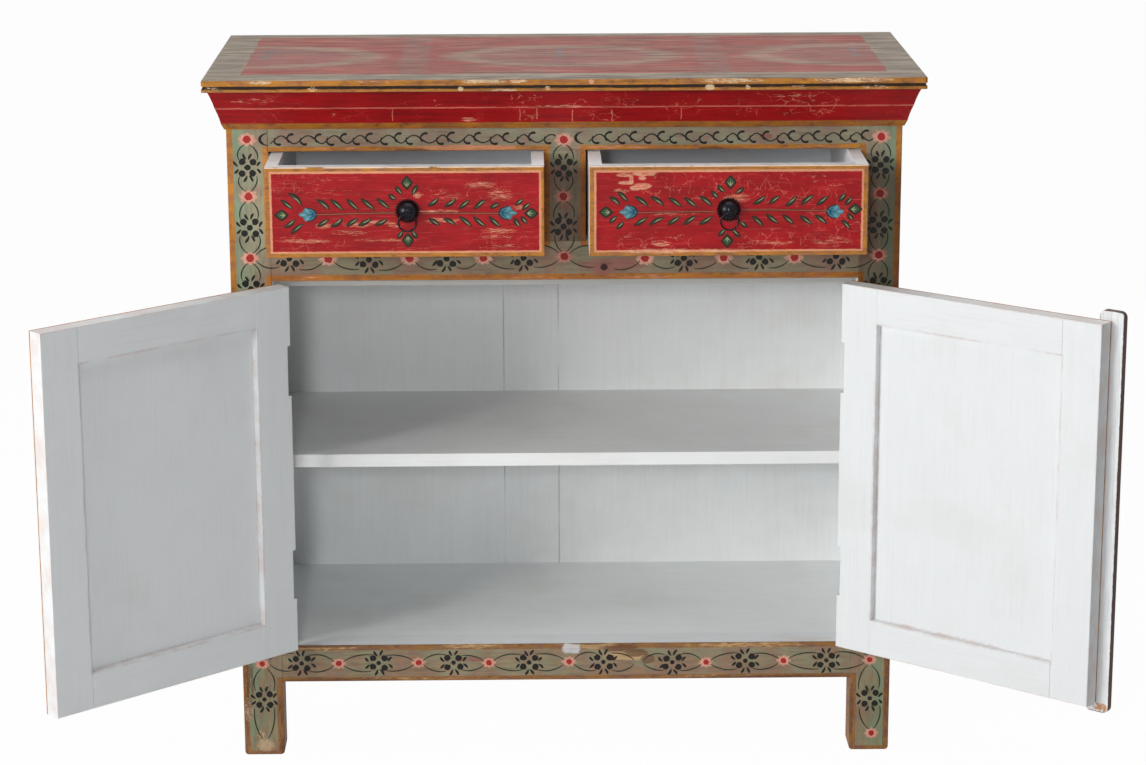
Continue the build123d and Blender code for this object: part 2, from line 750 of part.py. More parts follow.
def save_door(side):
    turn = flip if side == "right" else lambda part: part
    place = swing(side)
    x, z = door_pull_place()
    save(f"{side}_door_hinge_stile", turn(hinge_stile()), place)
    save(f"{side}_door_meeting_stile", turn(meeting_stile()), place)
    save(f"{side}_door_top_rail", turn(door_rail("top")), place)
    save(f"{side}_door_bottom_rail", turn(door_rail("bottom")), place)
    save(f"{side}_door_boss", turn(boss(x, z, DOOR_SHANK_L)), place)
    save(f"{side}_door_ring", turn(ring(x, z)), place)
    save(f"{side}_door_hinge_leaves", [turn(leaf) for leaf in hinge_leaves("door")], place)
    save(f"{side}_door_hinge_screws", [turn(one) for one in screws("door")], place)
    if side == "left":
        save("left_door_panel", panel_block(), place)
        return
    narrow, wide = right_panel_boards()
    save("right_door_panel_narrow", narrow, place)
    save("right_door_panel_wide", wide, place)
    save("right_door_meeting_strip", meeting_strip(), place)


def save_drawer(side):
    place = pull(side)
    x, z = drawer_pull_place(side)
    save(f"{side}_drawer_front", drawer_front(side), place)
    save(f"{side}_drawer_sides", drawer_sides(side), place)
    save(f"{side}_drawer_back", drawer_back_block(side), place)
    save(f"{side}_drawer_bottom", drawer_bottom(side), place)
    shank_l = DRAWER_FRONT_T + SHANK_PAST
    save(f"{side}_drawer_boss", [boss(x, z, shank_l), *boss_fixings(x, z)], place)
    save(f"{side}_drawer_ring", ring(x, z), place)


os.makedirs("parts", exist_ok=True)
save_carcass()
save_fixed_hinge_parts()
for SIDE in ("left", "right"):
    save_door(SIDE)
    save_drawer(SIDE)
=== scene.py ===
# %% [markdown]
# # The paint of an old cabinet
#
# This lesson takes the solid model of a painted cabinet and gives it its paint: sage-green posts with
# vines and flowers, crimson drawers with leaves, a faded top, and plain white insides. Flat fields of
# paint and their wear are made with shader nodes. Everything that a brush left in one stroke, such as a
# petal, a dot or a leaf, is a thin shell of its own, worked out with numpy, because a stroke of old
# paint has an edge that catches the light.

# %% Load the cabinet
import math
import bpy
from mathutils import Matrix
import numpy as np


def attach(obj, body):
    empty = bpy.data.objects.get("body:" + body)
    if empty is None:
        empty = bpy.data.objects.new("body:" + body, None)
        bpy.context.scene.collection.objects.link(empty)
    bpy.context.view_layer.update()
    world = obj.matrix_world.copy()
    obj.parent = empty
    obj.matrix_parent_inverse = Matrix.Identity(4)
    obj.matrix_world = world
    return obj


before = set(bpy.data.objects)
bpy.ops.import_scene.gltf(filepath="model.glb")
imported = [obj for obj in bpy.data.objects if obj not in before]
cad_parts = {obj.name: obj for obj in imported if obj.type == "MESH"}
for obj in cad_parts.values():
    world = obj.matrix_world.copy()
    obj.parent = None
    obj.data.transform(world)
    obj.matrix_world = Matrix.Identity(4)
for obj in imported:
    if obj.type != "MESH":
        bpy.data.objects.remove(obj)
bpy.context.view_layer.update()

# %% [markdown]
# ## The cabinet's own measure
#
# The cabinet was drawn in millimetres, from the floor up and from the face of its frame backwards.
# Blender holds it in metres, with zero in the middle of its depth. Most numbers below are in the
# drawing's millimetres, so a few values are kept here to go from one to the other.

# %% Sizes that the paint follows
FACE_BACK = 194.0  # the face of the frame stands this far in front of the middle
HALF = 440.0  # half the width over the posts
INNER = 386.0  # half the width between the posts
DIVIDER = 27.3  # half the width of the upright between the drawers
FLOOR_Z = 156.5
DOORWAY_Z = 662.5
BAY_Z, BAY_TOP = 714.0, 835.0
FRAME_Z = 917.0
PULL = {"left": 101.0, "right": 104.0}  # how far each drawer is out
SHUTTING = {"left": math.radians(138.3), "right": math.radians(-140.7)}  # the turn that shuts each door
PIN = {"left": (-382.5, -4.5), "right": (382.5, -4.5)}
DOOR = (0.5, 384.5, 159.5, 660.5)  # a shut door, from the middle outwards and from foot to head


def metres(points):
    """Millimetres from the face of the frame, turned into the model's metres."""
    return (np.asarray(points, float) + (0.0, -FACE_BACK, 0.0)) / 1000


def turn_by(angle):
    """The matrix that turns a point in a plane by an angle."""
    return np.array([[math.cos(angle), -math.sin(angle)], [math.sin(angle), math.cos(angle)]])


print("cabinet is", 2 * HALF, "mm over its posts")

# %% [markdown]
# ## Camera
#
# The camera stands a little left of the middle and well above the drawers, and looks down by about
# fourteen degrees. A long lens keeps the cabinet's uprights nearly upright. Its axes are worked out from
# three turns: down (pitch), sideways (yaw) and a trace of tilt (roll).

# %% Place the camera
CAMERA_AT = (-0.04785, -4.16573, 1.54379)
PITCH, YAW, ROLL = np.radians([14.42, 0.83, -0.18])
FILM = 36  # mm, its width
LENS = 3089.22 / 1146 * FILM  # the distance over the width of the view, in pixels, times the film

ahead = np.array([math.sin(YAW) * math.cos(PITCH), math.cos(YAW) * math.cos(PITCH), -math.sin(PITCH)])
level = np.array([math.cos(YAW), -math.sin(YAW), 0.0])
upward = np.cross(level, ahead)
rightward = level * math.cos(ROLL) + upward * math.sin(ROLL)
overhead = upward * math.cos(ROLL) - level * math.sin(ROLL)

lens = bpy.data.cameras.new("camera")
lens.lens = LENS
lens.sensor_width = FILM
lens.clip_end = 60
camera = bpy.data.objects.new("camera", lens)
turn = np.eye(4)
turn[:3, 0], turn[:3, 1], turn[:3, 2], turn[:3, 3] = rightward, overhead, -ahead, CAMERA_AT
camera.matrix_world = Matrix(turn.tolist())
bpy.context.scene.collection.objects.link(camera)
bpy.context.scene.camera = camera
bpy.context.scene.view_settings.view_transform = "Standard"
print("lens", round(LENS, 2), "mm")

# %% [markdown]
# ## Small tools for mixing paint from nodes
#
# A material in Blender is a tree of nodes. Writing each node out takes many lines, so these helpers place
# one node each, in the tree that was opened last. A value given to them may be a plain number or the output
# of another node.

# %% Helpers for node trees
opened = {}  # holds the tree in which nodes are placed


def paint(red, green, blue):
    """Turns a colour as a screen shows it, 0 to 255, into Blender's linear light."""
    value = np.array([red, green, blue]) / 255
    linear = np.where(value <= 0.04045, value / 12.92, ((value + 0.055) / 1.055) ** 2.4)
    return (*linear.tolist(), 1.0)


def fill(sockets, values):
    """Joins each named socket to another node's output, or gives it a plain value."""
    for key, value in values.items():
        if isinstance(value, bpy.types.NodeSocket):
            opened["tree"].links.new(value, sockets[key])
        else:
            sockets[key].default_value = value


def put(kind, values=None, **settings):
    """Places one node in the opened tree, sets it up and fills its inputs."""
    node = opened["tree"].nodes.new("ShaderNode" + kind)
    for key, value in settings.items():
        setattr(node, key, value)
    fill(node.inputs, values or {})
    return node


def split(place):
    """The x, y and z of a place."""
    return put("SeparateXYZ", {0: place}).outputs


def calc(operation, *values):
    """One sum on numbers."""
    return put("Math", dict(enumerate(values)), operation=operation).outputs[0]


def chained(operation):
    """A sum of two or more numbers, worked out from left to right."""
    def work_out(first, *others):
        for second in others:
            first = calc(operation, first, second)
        return first
    return work_out


times, plus, minus, most = [chained(name) for name in ("MULTIPLY", "ADD", "SUBTRACT", "MAXIMUM")]


def calc3(operation, *values):
    """One sum on vectors. Scale takes its number in the fourth input."""
    filled = dict(enumerate(values))
    if operation == "SCALE":
        filled = {0: values[0], 3: values[1]}
    node = put("VectorMath", filled, operation=operation)
    return node.outputs[1 if operation == "LENGTH" else 0]


def blend(amount, first, second, share=None):
    """Lays the second colour over the first by an amount from 0 to 1, or by a share of that amount."""
    amount = amount if share is None else times(amount, share)
    return put("Mix", {0: amount, 6: first, 7: second}, data_type="RGBA", blend_type="MIX").outputs[2]


def between(value, low, high):
    """0 below low, 1 above high, and a soft rise between them. Low may be above high."""
    return put("MapRange", {0: value, 1: low, 2: high}, interpolation_type="SMOOTHSTEP").outputs[0]


def cloud(where, size, detail=3, rough=0.55):
    """Noise from 0 to 1, mostly near a half. size is the size of its blots in mm along x, y and z."""
    spread = calc3("DIVIDE", where, size)
    return put("TexNoise", {"Vector": spread, "Scale": 1, "Detail": detail, "Roughness": rough}).outputs[0]


def mottle(where, size, low, high, detail=3, rough=0.55):
    """Blots of that noise: 0 where it is below low, 1 where it is above high."""
    return between(cloud(where, size, detail, rough), low, high)


def new_group(name, inputs, outputs):
    """Opens an empty node group. Inputs are (name, kind, value), and outputs are (name, kind)."""
    kinds = {"number": "NodeSocketFloat", "vector": "NodeSocketVector", "colour": "NodeSocketColor"}
    tree = opened["tree"] = bpy.data.node_groups.new(name, "ShaderNodeTree")
    for label, kind, value in inputs:
        tree.interface.new_socket(label, in_out="INPUT", socket_type=kinds[kind]).default_value = value
    for label, kind in outputs:
        tree.interface.new_socket(label, in_out="OUTPUT", socket_type=kinds[kind])
    return tree, tree.nodes.new("NodeGroupInput").outputs, tree.nodes.new("NodeGroupOutput").inputs


def use(group, **values):
    """Places a group. Spaces in an input's name are written as underscores."""
    values = {key.replace("_", " "): value for key, value in values.items()}
    return put("Group", node_tree=group, values=values).outputs


def open_tree(owner):
    """Empties the node tree of a material or of the world, and opens it."""
    owner.use_nodes = True
    opened["tree"] = owner.node_tree
    owner.node_tree.nodes.clear()


# %% [markdown]
# ## Node groups that every painted surface shares
#
# Old paint shows the same few things again and again: a line with a hand-drawn edge, brush streaks,
# fine crazing, and flakes that show the coat below. Each is a node group, so one change here changes
# the whole cabinet. The groups put out masks, colours and heights only.

# %% Ragged box: the inside of a hand-painted field or line
ragged_box, a, b = new_group("ragged box", [
    ("Where", "vector", (0, 0, 0)),
    ("Centre", "vector", (0, 0, 0)),
    ("Half", "vector", (1, 1, 1)),
    ("Ragged", "number", 0.6),
    ("Blot", "number", 6),
], [("Inside", "number")])
# Distance outside the box along its worst axis, moved about by noise, then cut off sharply at zero.
blot = calc3("DIVIDE", a["Where"], a["Blot"])
shake = put("TexNoise", {"Vector": blot, "Scale": 1, "Detail": 4, "Roughness": 0.65})
sway = calc3("SUBTRACT", shake.outputs[1], (0.5, 0.5, 0.5))
sway = calc3("SCALE", sway, times(a["Ragged"], 4))
from_centre = calc3("SUBTRACT", calc3("ADD", a["Where"], sway), a["Centre"])
past = calc3("SUBTRACT", calc3("ABSOLUTE", from_centre), a["Half"])
worst = most(*split(past))
fill(b, {"Inside": between(worst, 0.25, -0.25)})

# %% Scuff: a spot where the paint has been scratched off in streaks
scuff, a, b = new_group("scuff", [
    ("Where", "vector", (0, 0, 0)),
    ("Centre", "vector", (0, 0, 0)),
    ("Half", "vector", (10, 10, 10)),
    ("Streak", "vector", (9, 9, 2)),
    ("Bare", "number", 0.5),
], [("Mask", "number")])
# Noise stretched along the streaks. Bare sets the share that shows, less and less towards the spot's edge,
# and a ragged outline ends it. A value of 3 or more gives a solid blot with a torn edge.
from_centre = calc3("DIVIDE", calc3("SUBTRACT", a["Where"], a["Centre"]), a["Half"])
reach = calc3("LENGTH", from_centre)
flakes = cloud(a["Where"], a["Streak"], 6, 0.72)
share = times(minus(a["Bare"], 0.5), 0.3)
share = minus(share, times(calc("POWER", reach, 2), 0.16))
streaks = between(plus(flakes, share), 0.51, 0.60)
torn = plus(reach, times(minus(flakes, 0.5), 1.6))
fill(b, {"Mask": times(streaks, between(torn, 1.12, 0.82))})

# %% Crazing: fine cracks in a net
crazing, a, b = new_group("crazing", [
    ("Where", "vector", (0, 0, 0)),
    ("Size", "vector", (12, 12, 9)),
    ("Width", "number", 0.02),
], [("Cracks", "number")])
# The walls between cells of scattered points, bent by noise so that no crack is straight.
cells = calc3("DIVIDE", a["Where"], a["Size"])
bend = put("TexNoise", {"Vector": cells, "Scale": 1.3, "Detail": 4, "Roughness": 0.7})
bent = calc3("ADD", cells, calc3("SCALE", bend.outputs[1], 0.9))
walls = put("TexVoronoi", {"Vector": bent, "Scale": 1}, feature="DISTANCE_TO_EDGE")
wide = times(a["Width"], 2)
fill(b, {"Cracks": between(walls.outputs[0], wide, a["Width"])})

# %% Old paint: streaks, grime, thin places and flakes over one or more fields of colour
old_paint, a, b = new_group("old paint", [
    ("Where", "vector", (0, 0, 0)),
    ("Paint", "colour", (0.5, 0.5, 0.5, 1)),
    ("Under", "colour", (0.7, 0.5, 0.4, 1)),
    ("Streak", "vector", (60, 60, 3)),
    ("Uneven", "number", 0.25),
    ("Grime", "number", 0.3),
    ("Flaked", "number", 0.2),
    ("Cracks", "number", 0),
    ("Crack size", "vector", (14, 14, 9)),
    ("Gloss", "number", 0.5),
], [("Color", "colour"), ("Roughness", "number"), ("Height", "number")])
# Brightness follows long streaks and wide blots, and grime gathers in streaks of its own. Flakes and
# cracks then show the undercoat. Cracks keep to a few places.
streaks = cloud(a["Where"], a["Streak"], 5, 0.7)
blots = cloud(a["Where"], (45, 45, 45), 3, 0.6)
swing = minus(plus(streaks, blots), 1)
swing = times(swing, times(a["Uneven"], 2.8))
shaded = calc3("SCALE", a["Paint"], plus(swing, 1))
fine = cloud(a["Where"], calc3("SCALE", a["Streak"], 0.35), 6, 0.75)
dusk = plus(times(fine, 0.5), times(streaks, 0.5))
dusk = times(between(dusk, 0.52, 0.36), a["Grime"])
shaded = blend(dusk, shaded, calc3("MULTIPLY", shaded, (0.42, 0.33, 0.26)))
patch = plus(times(fine, 0.6), times(blots, 0.4))
flake_edge = minus(0.72, times(a["Flaked"], 0.25))
flaked = between(patch, flake_edge, plus(flake_edge, 0.05))
net = use(crazing, Where=a["Where"], Size=a["Crack size"], Width=0.010)["Cracks"]
here = mottle(a["Where"], (60, 60, 34), 0.50, 0.38)
cracked = times(net, a["Cracks"], here)
gone = most(times(flaked, 0.8), cracked)
dull = plus(times(gone, 0.3), times(streaks, 0.2))
relief = minus(times(streaks, 0.5), gone)
fill(b, {"Color": blend(gone, shaded, a["Under"]), "Roughness": plus(a["Gloss"], dull), "Height": relief})
print("node groups:", [group.name for group in bpy.data.node_groups])

# %% [markdown]
# ## One recipe for a finished material
#
# Each material needs the same start and end. It starts from the piece's own coordinates, turned into the
# drawing's millimetres by a Mapping node. For a door, that node also swings the pattern to where the door
# is shut, so that its paint can be described flat. It ends in one shader with colour, roughness and a bump.

# %% Start and end of a material
OIL_SHINE = 0.22
THIN_COAT = 0.00012  # metres that smooth white paint stands up in its relief


def start(name, side=None):
    """A new material, and the place of each point in mm. side is a door, measured as if it were shut."""
    material = bpy.data.materials.new(name)
    open_tree(material)
    shift = np.array([0, FACE_BACK])
    angle = SHUTTING[side] if side else 0
    if side:
        spin = turn_by(angle)
        shift = spin @ (shift - PIN[side]) + PIN[side]
    values = {"Vector": put("TexCoord").outputs["Object"], "Location": (*shift, 0), "Rotation": (0, 0, angle),
              "Scale": (1000, 1000, 1000)}
    return material, put("Mapping", values, vector_type="POINT").outputs[0]


def end(colour, roughness, height=None, depth=0.0002, **fixed):
    """One Principled shader. Oil paint shines less than new lacquer, so its specular level is low. fixed
    sets sockets of the shader's own, such as Metallic."""
    values = {"Base Color": colour, "Roughness": roughness, "Specular IOR Level": OIL_SHINE, **fixed}
    if height is not None:
        values["Normal"] = put("Bump", {"Height": height, "Distance": depth, "Strength": 0.7}).outputs[0]
    put("OutputMaterial", {0: put("BsdfPrincipled", values).outputs[0]})


def dress(material, *names):
    """Gives a material to carried-over pieces."""
    for name in names:
        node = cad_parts[name]
        if not node.material_slots:
            node.data.materials.append(None)
        for socket in node.material_slots:
            socket.material = material
        undressed.discard(name)


def age(where, colour, under, streak, **values):
    """Old paint of a colour over its undercoat, in streaks of a size: colour, roughness and height."""
    return use(old_paint, Where=where, Paint=colour, Under=under, Streak=streak, **values)


undressed = set(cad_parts)
print(len(undressed), "pieces wait for their finish")

# %% [markdown]
# ## The face of the frame
#
# The posts, rails and divider are sage green, warmer and browner in patches where an old glaze has aged, and
# a line of ochre runs round every opening and down each outer corner. Painted shade darkens the middle rail
# under the drawers, and the drawers' painted shadow darkens the divider and the right post. The cabinet is
# the same left and right, so the lines are given once, for the right half, and the pattern reads the distance
# from the middle.

# %% Sage frame with ochre lines
SAGE, SAGE_WARM, SAGE_GREEN = paint(140, 138, 114), paint(140, 119, 102), paint(122, 148, 120)
OCHRE, TAN = paint(180, 120, 46), paint(158, 104, 62)
PEACH, CREAM = paint(214, 146, 112), paint(226, 200, 164)
WHITE, GREY_WHITE = paint(237, 239, 239), paint(212, 216, 220)
BROWN, DARK = paint(98, 64, 42), paint(34, 24, 16)
CRIMSON, DEEP_RED, WOOD = paint(156, 9, 18), paint(136, 8, 15), paint(160, 112, 76)
FRAME_LINES = [  # inner x, outer x, lowest z, highest z
    (432, 442, 0, FRAME_Z), (INNER - 1, 393.5, BAY_Z - 7, BAY_TOP + 7),
    (20, DIVIDER + 1, BAY_Z - 7, BAY_TOP + 7), (20, 393.5, BAY_TOP - 1, BAY_TOP + 6.5),
    (20, 393.5, BAY_Z - 6.5, BAY_Z + 1), (0, 393, DOORWAY_Z - 1, DOORWAY_Z + 8),
    (INNER - 1, 393, FLOOR_Z - 8, DOORWAY_Z + 8), (0, 393, FLOOR_Z - 7, FLOOR_Z + 1), (0, 393.5, 104, 111.5),
    (INNER - 1, 394.5, 0, 111.5), (INNER, 441, 0, 6),
]


def boxes(where, rows, ragged, low_y, high_y):
    """The inside of any of several painted boxes, each given by its x and z."""
    inside = None
    for x0, x1, z0, z1 in rows:
        centre = ((x0 + x1) / 2, (low_y + high_y) / 2, (z0 + z1) / 2)
        half = (abs(x1 - x0) / 2, abs(high_y - low_y) / 2, abs(z1 - z0) / 2)
        one = use(ragged_box, Where=where, Centre=centre, Half=half, Ragged=ragged)[0]
        inside = one if inside is None else most(inside, one)
    return inside


def scuffs(where, rows, y, streak, depth=12):
    """Several scuffed spots. Each row is x, z, half width, half height and how bare it is."""
    worn = None
    for x, z, wide, high, bare in rows:
        values = dict(Where=where, Centre=(x, y, z), Half=(wide, depth, high), Streak=streak, Bare=bare)
        one = use(scuff, **values)[0]
        worn = one if worn is None else most(worn, one)
    return worn


def mirrored(where):
    """The same place on the right half: the size of x, with y and z as they are."""
    axes = split(where)
    far = calc("ABSOLUTE", axes[0])
    return put("CombineXYZ", {0: far, 1: axes[1], 2: axes[2]}).outputs[0], far, axes


def sage_ground(where):
    """Sage with warm, rosy and greenish patches, as an old, browning glaze leaves it."""
    warm = mottle(where, (60, 60, 44), 0.42, 0.60, 5, 0.65)
    ground = blend(warm, SAGE, SAGE_WARM)
    rosy = mottle(where, (34, 50, 16), 0.55, 0.72, 5, 0.7)
    return blend(rosy, ground, paint(164, 116, 104), 0.6)


def ochre_line(where):
    """Ochre that turns tan and brown in streaks, with thin dark fibres over it."""
    tanned = mottle(where, (30, 30, 12), 0.44, 0.60, 6, 0.75)
    browned = mottle(where, (14, 16, 9), 0.52, 0.68, 5, 0.7)
    line = blend(browned, blend(tanned, OCHRE, TAN), BROWN, 0.62)
    fibre = mottle(where, (18, 18, 1.6), 0.56, 0.66, 5, 0.7)
    return blend(fibre, line, paint(84, 50, 26), 0.4)


def drawer_shadow_tint(where):
    """Painted shade: what a colour is multiplied by where the drawers cast their shadow, on the divider and
    on the right post.
    """
    axes = split(where)
    far = calc("ABSOLUTE", axes[0])
    middle = times(between(far, 32, 26), between(axes[2], 846, 800))
    right = times(between(axes[0], 380, 392), between(axes[2], 836, 790))
    right = times(right, between(axes[2], 500, 660))
    brown = times(most(middle, right), between(axes[2], 640, 720))
    brown = most(brown, times(right, 0.9))
    return blend(brown, paint(255, 255, 255), (0.46, 0.35, 0.33, 1), 0.9)


def frame_material(name, streak, marks, in_drawer_shadow=False):
    """Sage ground, ochre lines and worn spots on the front and the outside, painted shade on the middle rail
    under the drawers and, when asked, the drawers' painted shadow beside them; white inside.
    """
    material, where = start(name)
    twin, far, axes = mirrored(where)
    ground = sage_ground(where)
    edge_green = between(far, 400, 432)
    green = times(edge_green, mottle(where, (50, 50, 60), 0.35, 0.6))
    ground = blend(green, ground, SAGE_GREEN, 0.8)
    outer_line = boxes(twin, FRAME_LINES[:1], 0.5, -30, 7)
    line = most(outer_line, boxes(twin, FRAME_LINES[1:], 0.5, -30, 400))
    lines_low = between(axes[2], 320, 160)
    ochre = ochre_line(where)
    ochre = blend(lines_low, ochre, calc3("MULTIPLY", ochre, (0.60, 0.74, 1.50)), 0.9)
    field = blend(line, ground, ochre)
    browned = between(axes[2], 330, 60)
    field = blend(browned, field, calc3("MULTIPLY", field, (0.86, 0.82, 0.74)), 0.55)
    # Painted shade: the middle rail between the posts is darkened and browned under the drawers, where they
    # shade it.
    middle = times(between(axes[2], 722, 706), between(axes[2], 656, 668), between(far, 398, 384))
    field = blend(middle, field, calc3("MULTIPLY", field, (0.84, 0.74, 0.71)))
    # Painted shadow: where the drawers cast their shadow, the divider and the right post are darkened.
    if in_drawer_shadow:
        field = calc3("MULTIPLY", field, drawer_shadow_tint(where))
    low = between(axes[2], 250, 90)
    splinter = cloud(where, [value * 0.45 for value in streak], 6, 0.75)
    bare = times(low, between(splinter, 0.50, 0.62))
    field = blend(bare, field, WOOD, 0.75)
    for colour, rows, bare_streak in marks:
        spots = scuffs(where, rows, 0, bare_streak)
        field = blend(spots, field, colour, 0.72)
    skin = most(between(axes[1], 2.6, 1.6), between(far, 438, 438.8))
    skin = most(skin, between(axes[2], FLOOR_Z - 1, FLOOR_Z - 3))
    aged = age(where, field, paint(208, 150, 118), streak, Uneven=0.17, Grime=0.42, Flaked=0.2, Cracks=0.12,
               Crack_size=(30, 30, 18), Gloss=0.5)
    stain = mottle(where, (70, 30, 70), 0.50, 0.72, 4, 0.6)
    plain = blend(stain, paint(230, 232, 234), paint(206, 190, 172), 0.3)
    end(blend(skin, plain, aged["Color"]), aged["Roughness"], aged["Height"])
    return material


RAIL_MARKS = [
    (PEACH, [
        (-125, 839, 88, 4, 1.1), (60, 838, 60, 4, 0.8), (330, 838, 60, 4, 0.6), (-290, 839, 60, 3, 0.6),
        (110, 666, 92, 4, 0.6), (-60, 666, 120, 4, 0.5), (-330, 667, 40, 4, 0.5), (235, 667, 9, 5, 0.6),
    ], (22, 22, 2.2)),
    (paint(198, 164, 118), [
        (-330, 153, 60, 5, 0.8), (-130, 154, 60, 5, 0.8), (40, 154, 34, 6, 1.1), (240, 153, 110, 5, 0.8),
        (-230, 108, 150, 4, 0.6), (220, 108, 150, 4, 0.6), (80, 139, 30, 7, 1.5),
    ], (14, 14, 2.2)),
    (paint(140, 84, 76), [
        (60, 682, 50, 10, 1.2), (48, 679, 14, 11, 1.6), (-122, 135, 44, 4, 0.9), (262, 852, 9, 4, 2.2),
        (-70, 680, 40, 9, 0.5), (250, 136, 24, 9, 0.6),
    ], (20, 20, 4)),
    (GREY_WHITE, [(6, 151, 13, 9, 2.4)], (18, 18, 14)),
    (BROWN, [
        (-199, 836, 24, 3.4, 2), (190, 836, 18, 3, 2), (-335, 156, 60, 3, 1.4), (30, 157, 30, 2.5, 1.4),
        (72, 150, 26, 5, 1.8), (94, 143, 16, 6, 1.6), (110, 134, 10, 7, 1.6), (-262, 142, 8, 4, 1),
        (-300, 107, 90, 3, 1.1), (280, 107, 120, 3, 1.1), (392, 706, 5, 8, 1),
    ], (16, 16, 2.6)),
]
POST_MARKS = [
    (paint(196, 168, 136), [
        (-411, 14, 14, 12, 1), (-417, 28, 9, 13, 0.7), (-433, 66, 8, 28, 0.8), (405, 12, 9, 9, 0.5),
    ], (4, 4, 2.6)),
    (BROWN, [
        (-432, 110, 8, 60, 0.9), (-387, 12, 5, 16, 2), (-390, 60, 5, 50, 0.7), (437, 90, 6, 90, 0.8),
        (388, 60, 5, 50, 0.9), (-437, 300, 4, 300, 0.4), (437, 500, 4, 400, 0.4),
    ], (3, 3, 16)),
    (paint(126, 72, 66), [(0, 762, 12, 16, 0.7), (0, 668, 20, 14, 0.6)], (5, 5, 9)),
]
frame_rails = frame_material("sage rails", (60, 60, 4.4), RAIL_MARKS)
# True: the posts and the divider also carry the painted shadow of the drawers.
frame_posts = frame_material("sage posts", (6, 6, 50), POST_MARKS, True)
dress(frame_rails, "rail_front_top", "rail_front_middle", "rail_front_bottom")
dress(frame_posts, "post_front_left", "post_front_right", "drawer_divider")
print("frame lines:", len(FRAME_LINES))

# %% [markdown]
# ## Cornice
#
# The cornice is crimson with an ochre fillet at its foot. Its upper hollow is darker, its middle arris has
# lost its red along a thin line, and the red is crazed, most of all at the right.

# %% Crimson cornice
CORNICE_CRACKS = [  # x, z, half width, half height of the places where the red is cracked
    (-54, 905, 24, 9), (16, 901, 13, 5), (80, 901, 16, 7), (167, 903, 15, 6), (-165, 901, 10, 4),
    (315, 896, 44, 18), (52, 882, 20, 9), (-46, 882, 14, 9), (145, 893, 20, 6), (-300, 884, 20, 4),
    (240, 886, 24, 6),
]
UPRIGHT_CRACKS = [(-223, 884), (-58, 883), (-36, 885), (10, 882), (61, 882), (151, 884)]
UPPER_HOLLOW_Z, ARRIS_Z, FILLET_Z = 893, 893.6, 873.6
cornice_red, where = start("crimson cornice")
axes = split(where)
tone = between(axes[2], UPPER_HOLLOW_Z, UPPER_HOLLOW_Z + 3)
red = blend(tone, paint(153, 9, 14), paint(146, 8, 13))
deeper = mottle(where, (120, 60, 8), 0.46, 0.66, 5, 0.65)
red = blend(deeper, red, paint(116, 8, 14), 0.6)
fillet = between(axes[2], FILLET_Z, FILLET_Z - 1)
red = blend(fillet, red, calc3("MULTIPLY", ochre_line(where), (0.86, 0.80, 0.72)))
arris = use(ragged_box, Where=where, Centre=(0, 0, ARRIS_Z), Half=(600, 600, 1), Ragged=0.5, Blot=12)[0]
chip = mottle(where, (40, 40, 8), 0.30, 0.46, 5, 0.7)
red = blend(times(arris, chip), red, paint(194, 98, 84))
pale = scuffs(where, [(-404, 904, 44, 6, 0.5), (-123, 877, 20, 4, 0.8), (0, 895, 50, 2.5, 0.7),
                      (300, 908, 60, 4, 0.5)], -14, (10, 10, 1.3), 24)
red = blend(pale, red, paint(222, 160, 134), 0.7)
splits = boxes(where, [(x - 0.5, x + 0.5, z - 8, z + 8) for x, z in UPRIGHT_CRACKS], 1.1, -60, 10)
net = use(crazing, Where=where, Size=(19, 19, 11), Width=0.011)[0]
spread = scuffs(where, [(*row, 3) for row in CORNICE_CRACKS], -14, (16, 16, 12), 30)
broken = mottle(where, (9, 9, 7), 0.42, 0.56)
net = times(net, spread, broken)
red = blend(most(splits, net), red, paint(222, 140, 116), 0.72)
aged = age(where, red, paint(206, 92, 78), (80, 80, 2.6), Uneven=0.22, Grime=0.35, Flaked=0.1, Cracks=0.3,
           Crack_size=(30, 30, 12), Gloss=0.4)
end(*aged)
dress(cornice_red, "cornice_front", "cornice_sides")

# %% [markdown]
# ## Top
#
# The top is the most worn surface of all. A weathered sage border frames a rose field that was once crimson,
# and three pale ovals stand in a row, the outer two cut by the border. The edge of the boards is ochre with
# a dark groove. An oval is drawn by its distance from the middle, each axis raised to a power near two.

# %% Faded top with its ovals
OVAL_W, OVAL_H, OVAL_Y = 157, 100, 174
BOARD_JOINT_Y = 212  # where the two top boards meet
TOP_FIELD = (421.5, 19, 358)  # half width, front and back of the rose field
top_paint, where = start("faded top")
axes = split(where)
rub = cloud(where, (30, 20, 20), 5, 0.65)
grain = cloud(where, (120, 6, 8), 6, 0.72)
fibre = cloud(where, (90, 5, 8), 4, 0.6)
weather = cloud(where, (150, 34, 30), 6, 0.7)


def oval(centre, wide, high):
    """1 inside an oval and 0 outside: the sum of the two axes' powers is below one, shaken by noise."""
    across = calc("ABSOLUTE", calc("DIVIDE", minus(axes[0], centre), wide))
    along = calc("ABSOLUTE", calc("DIVIDE", minus(axes[1], OVAL_Y), high))
    total = plus(calc("POWER", across, 1.8), calc("POWER", along, 1.9))
    shaken = plus(times(rub, 0.5), times(grain, 0.6))
    return between(plus(total, shaken), 1.72, 1.36)


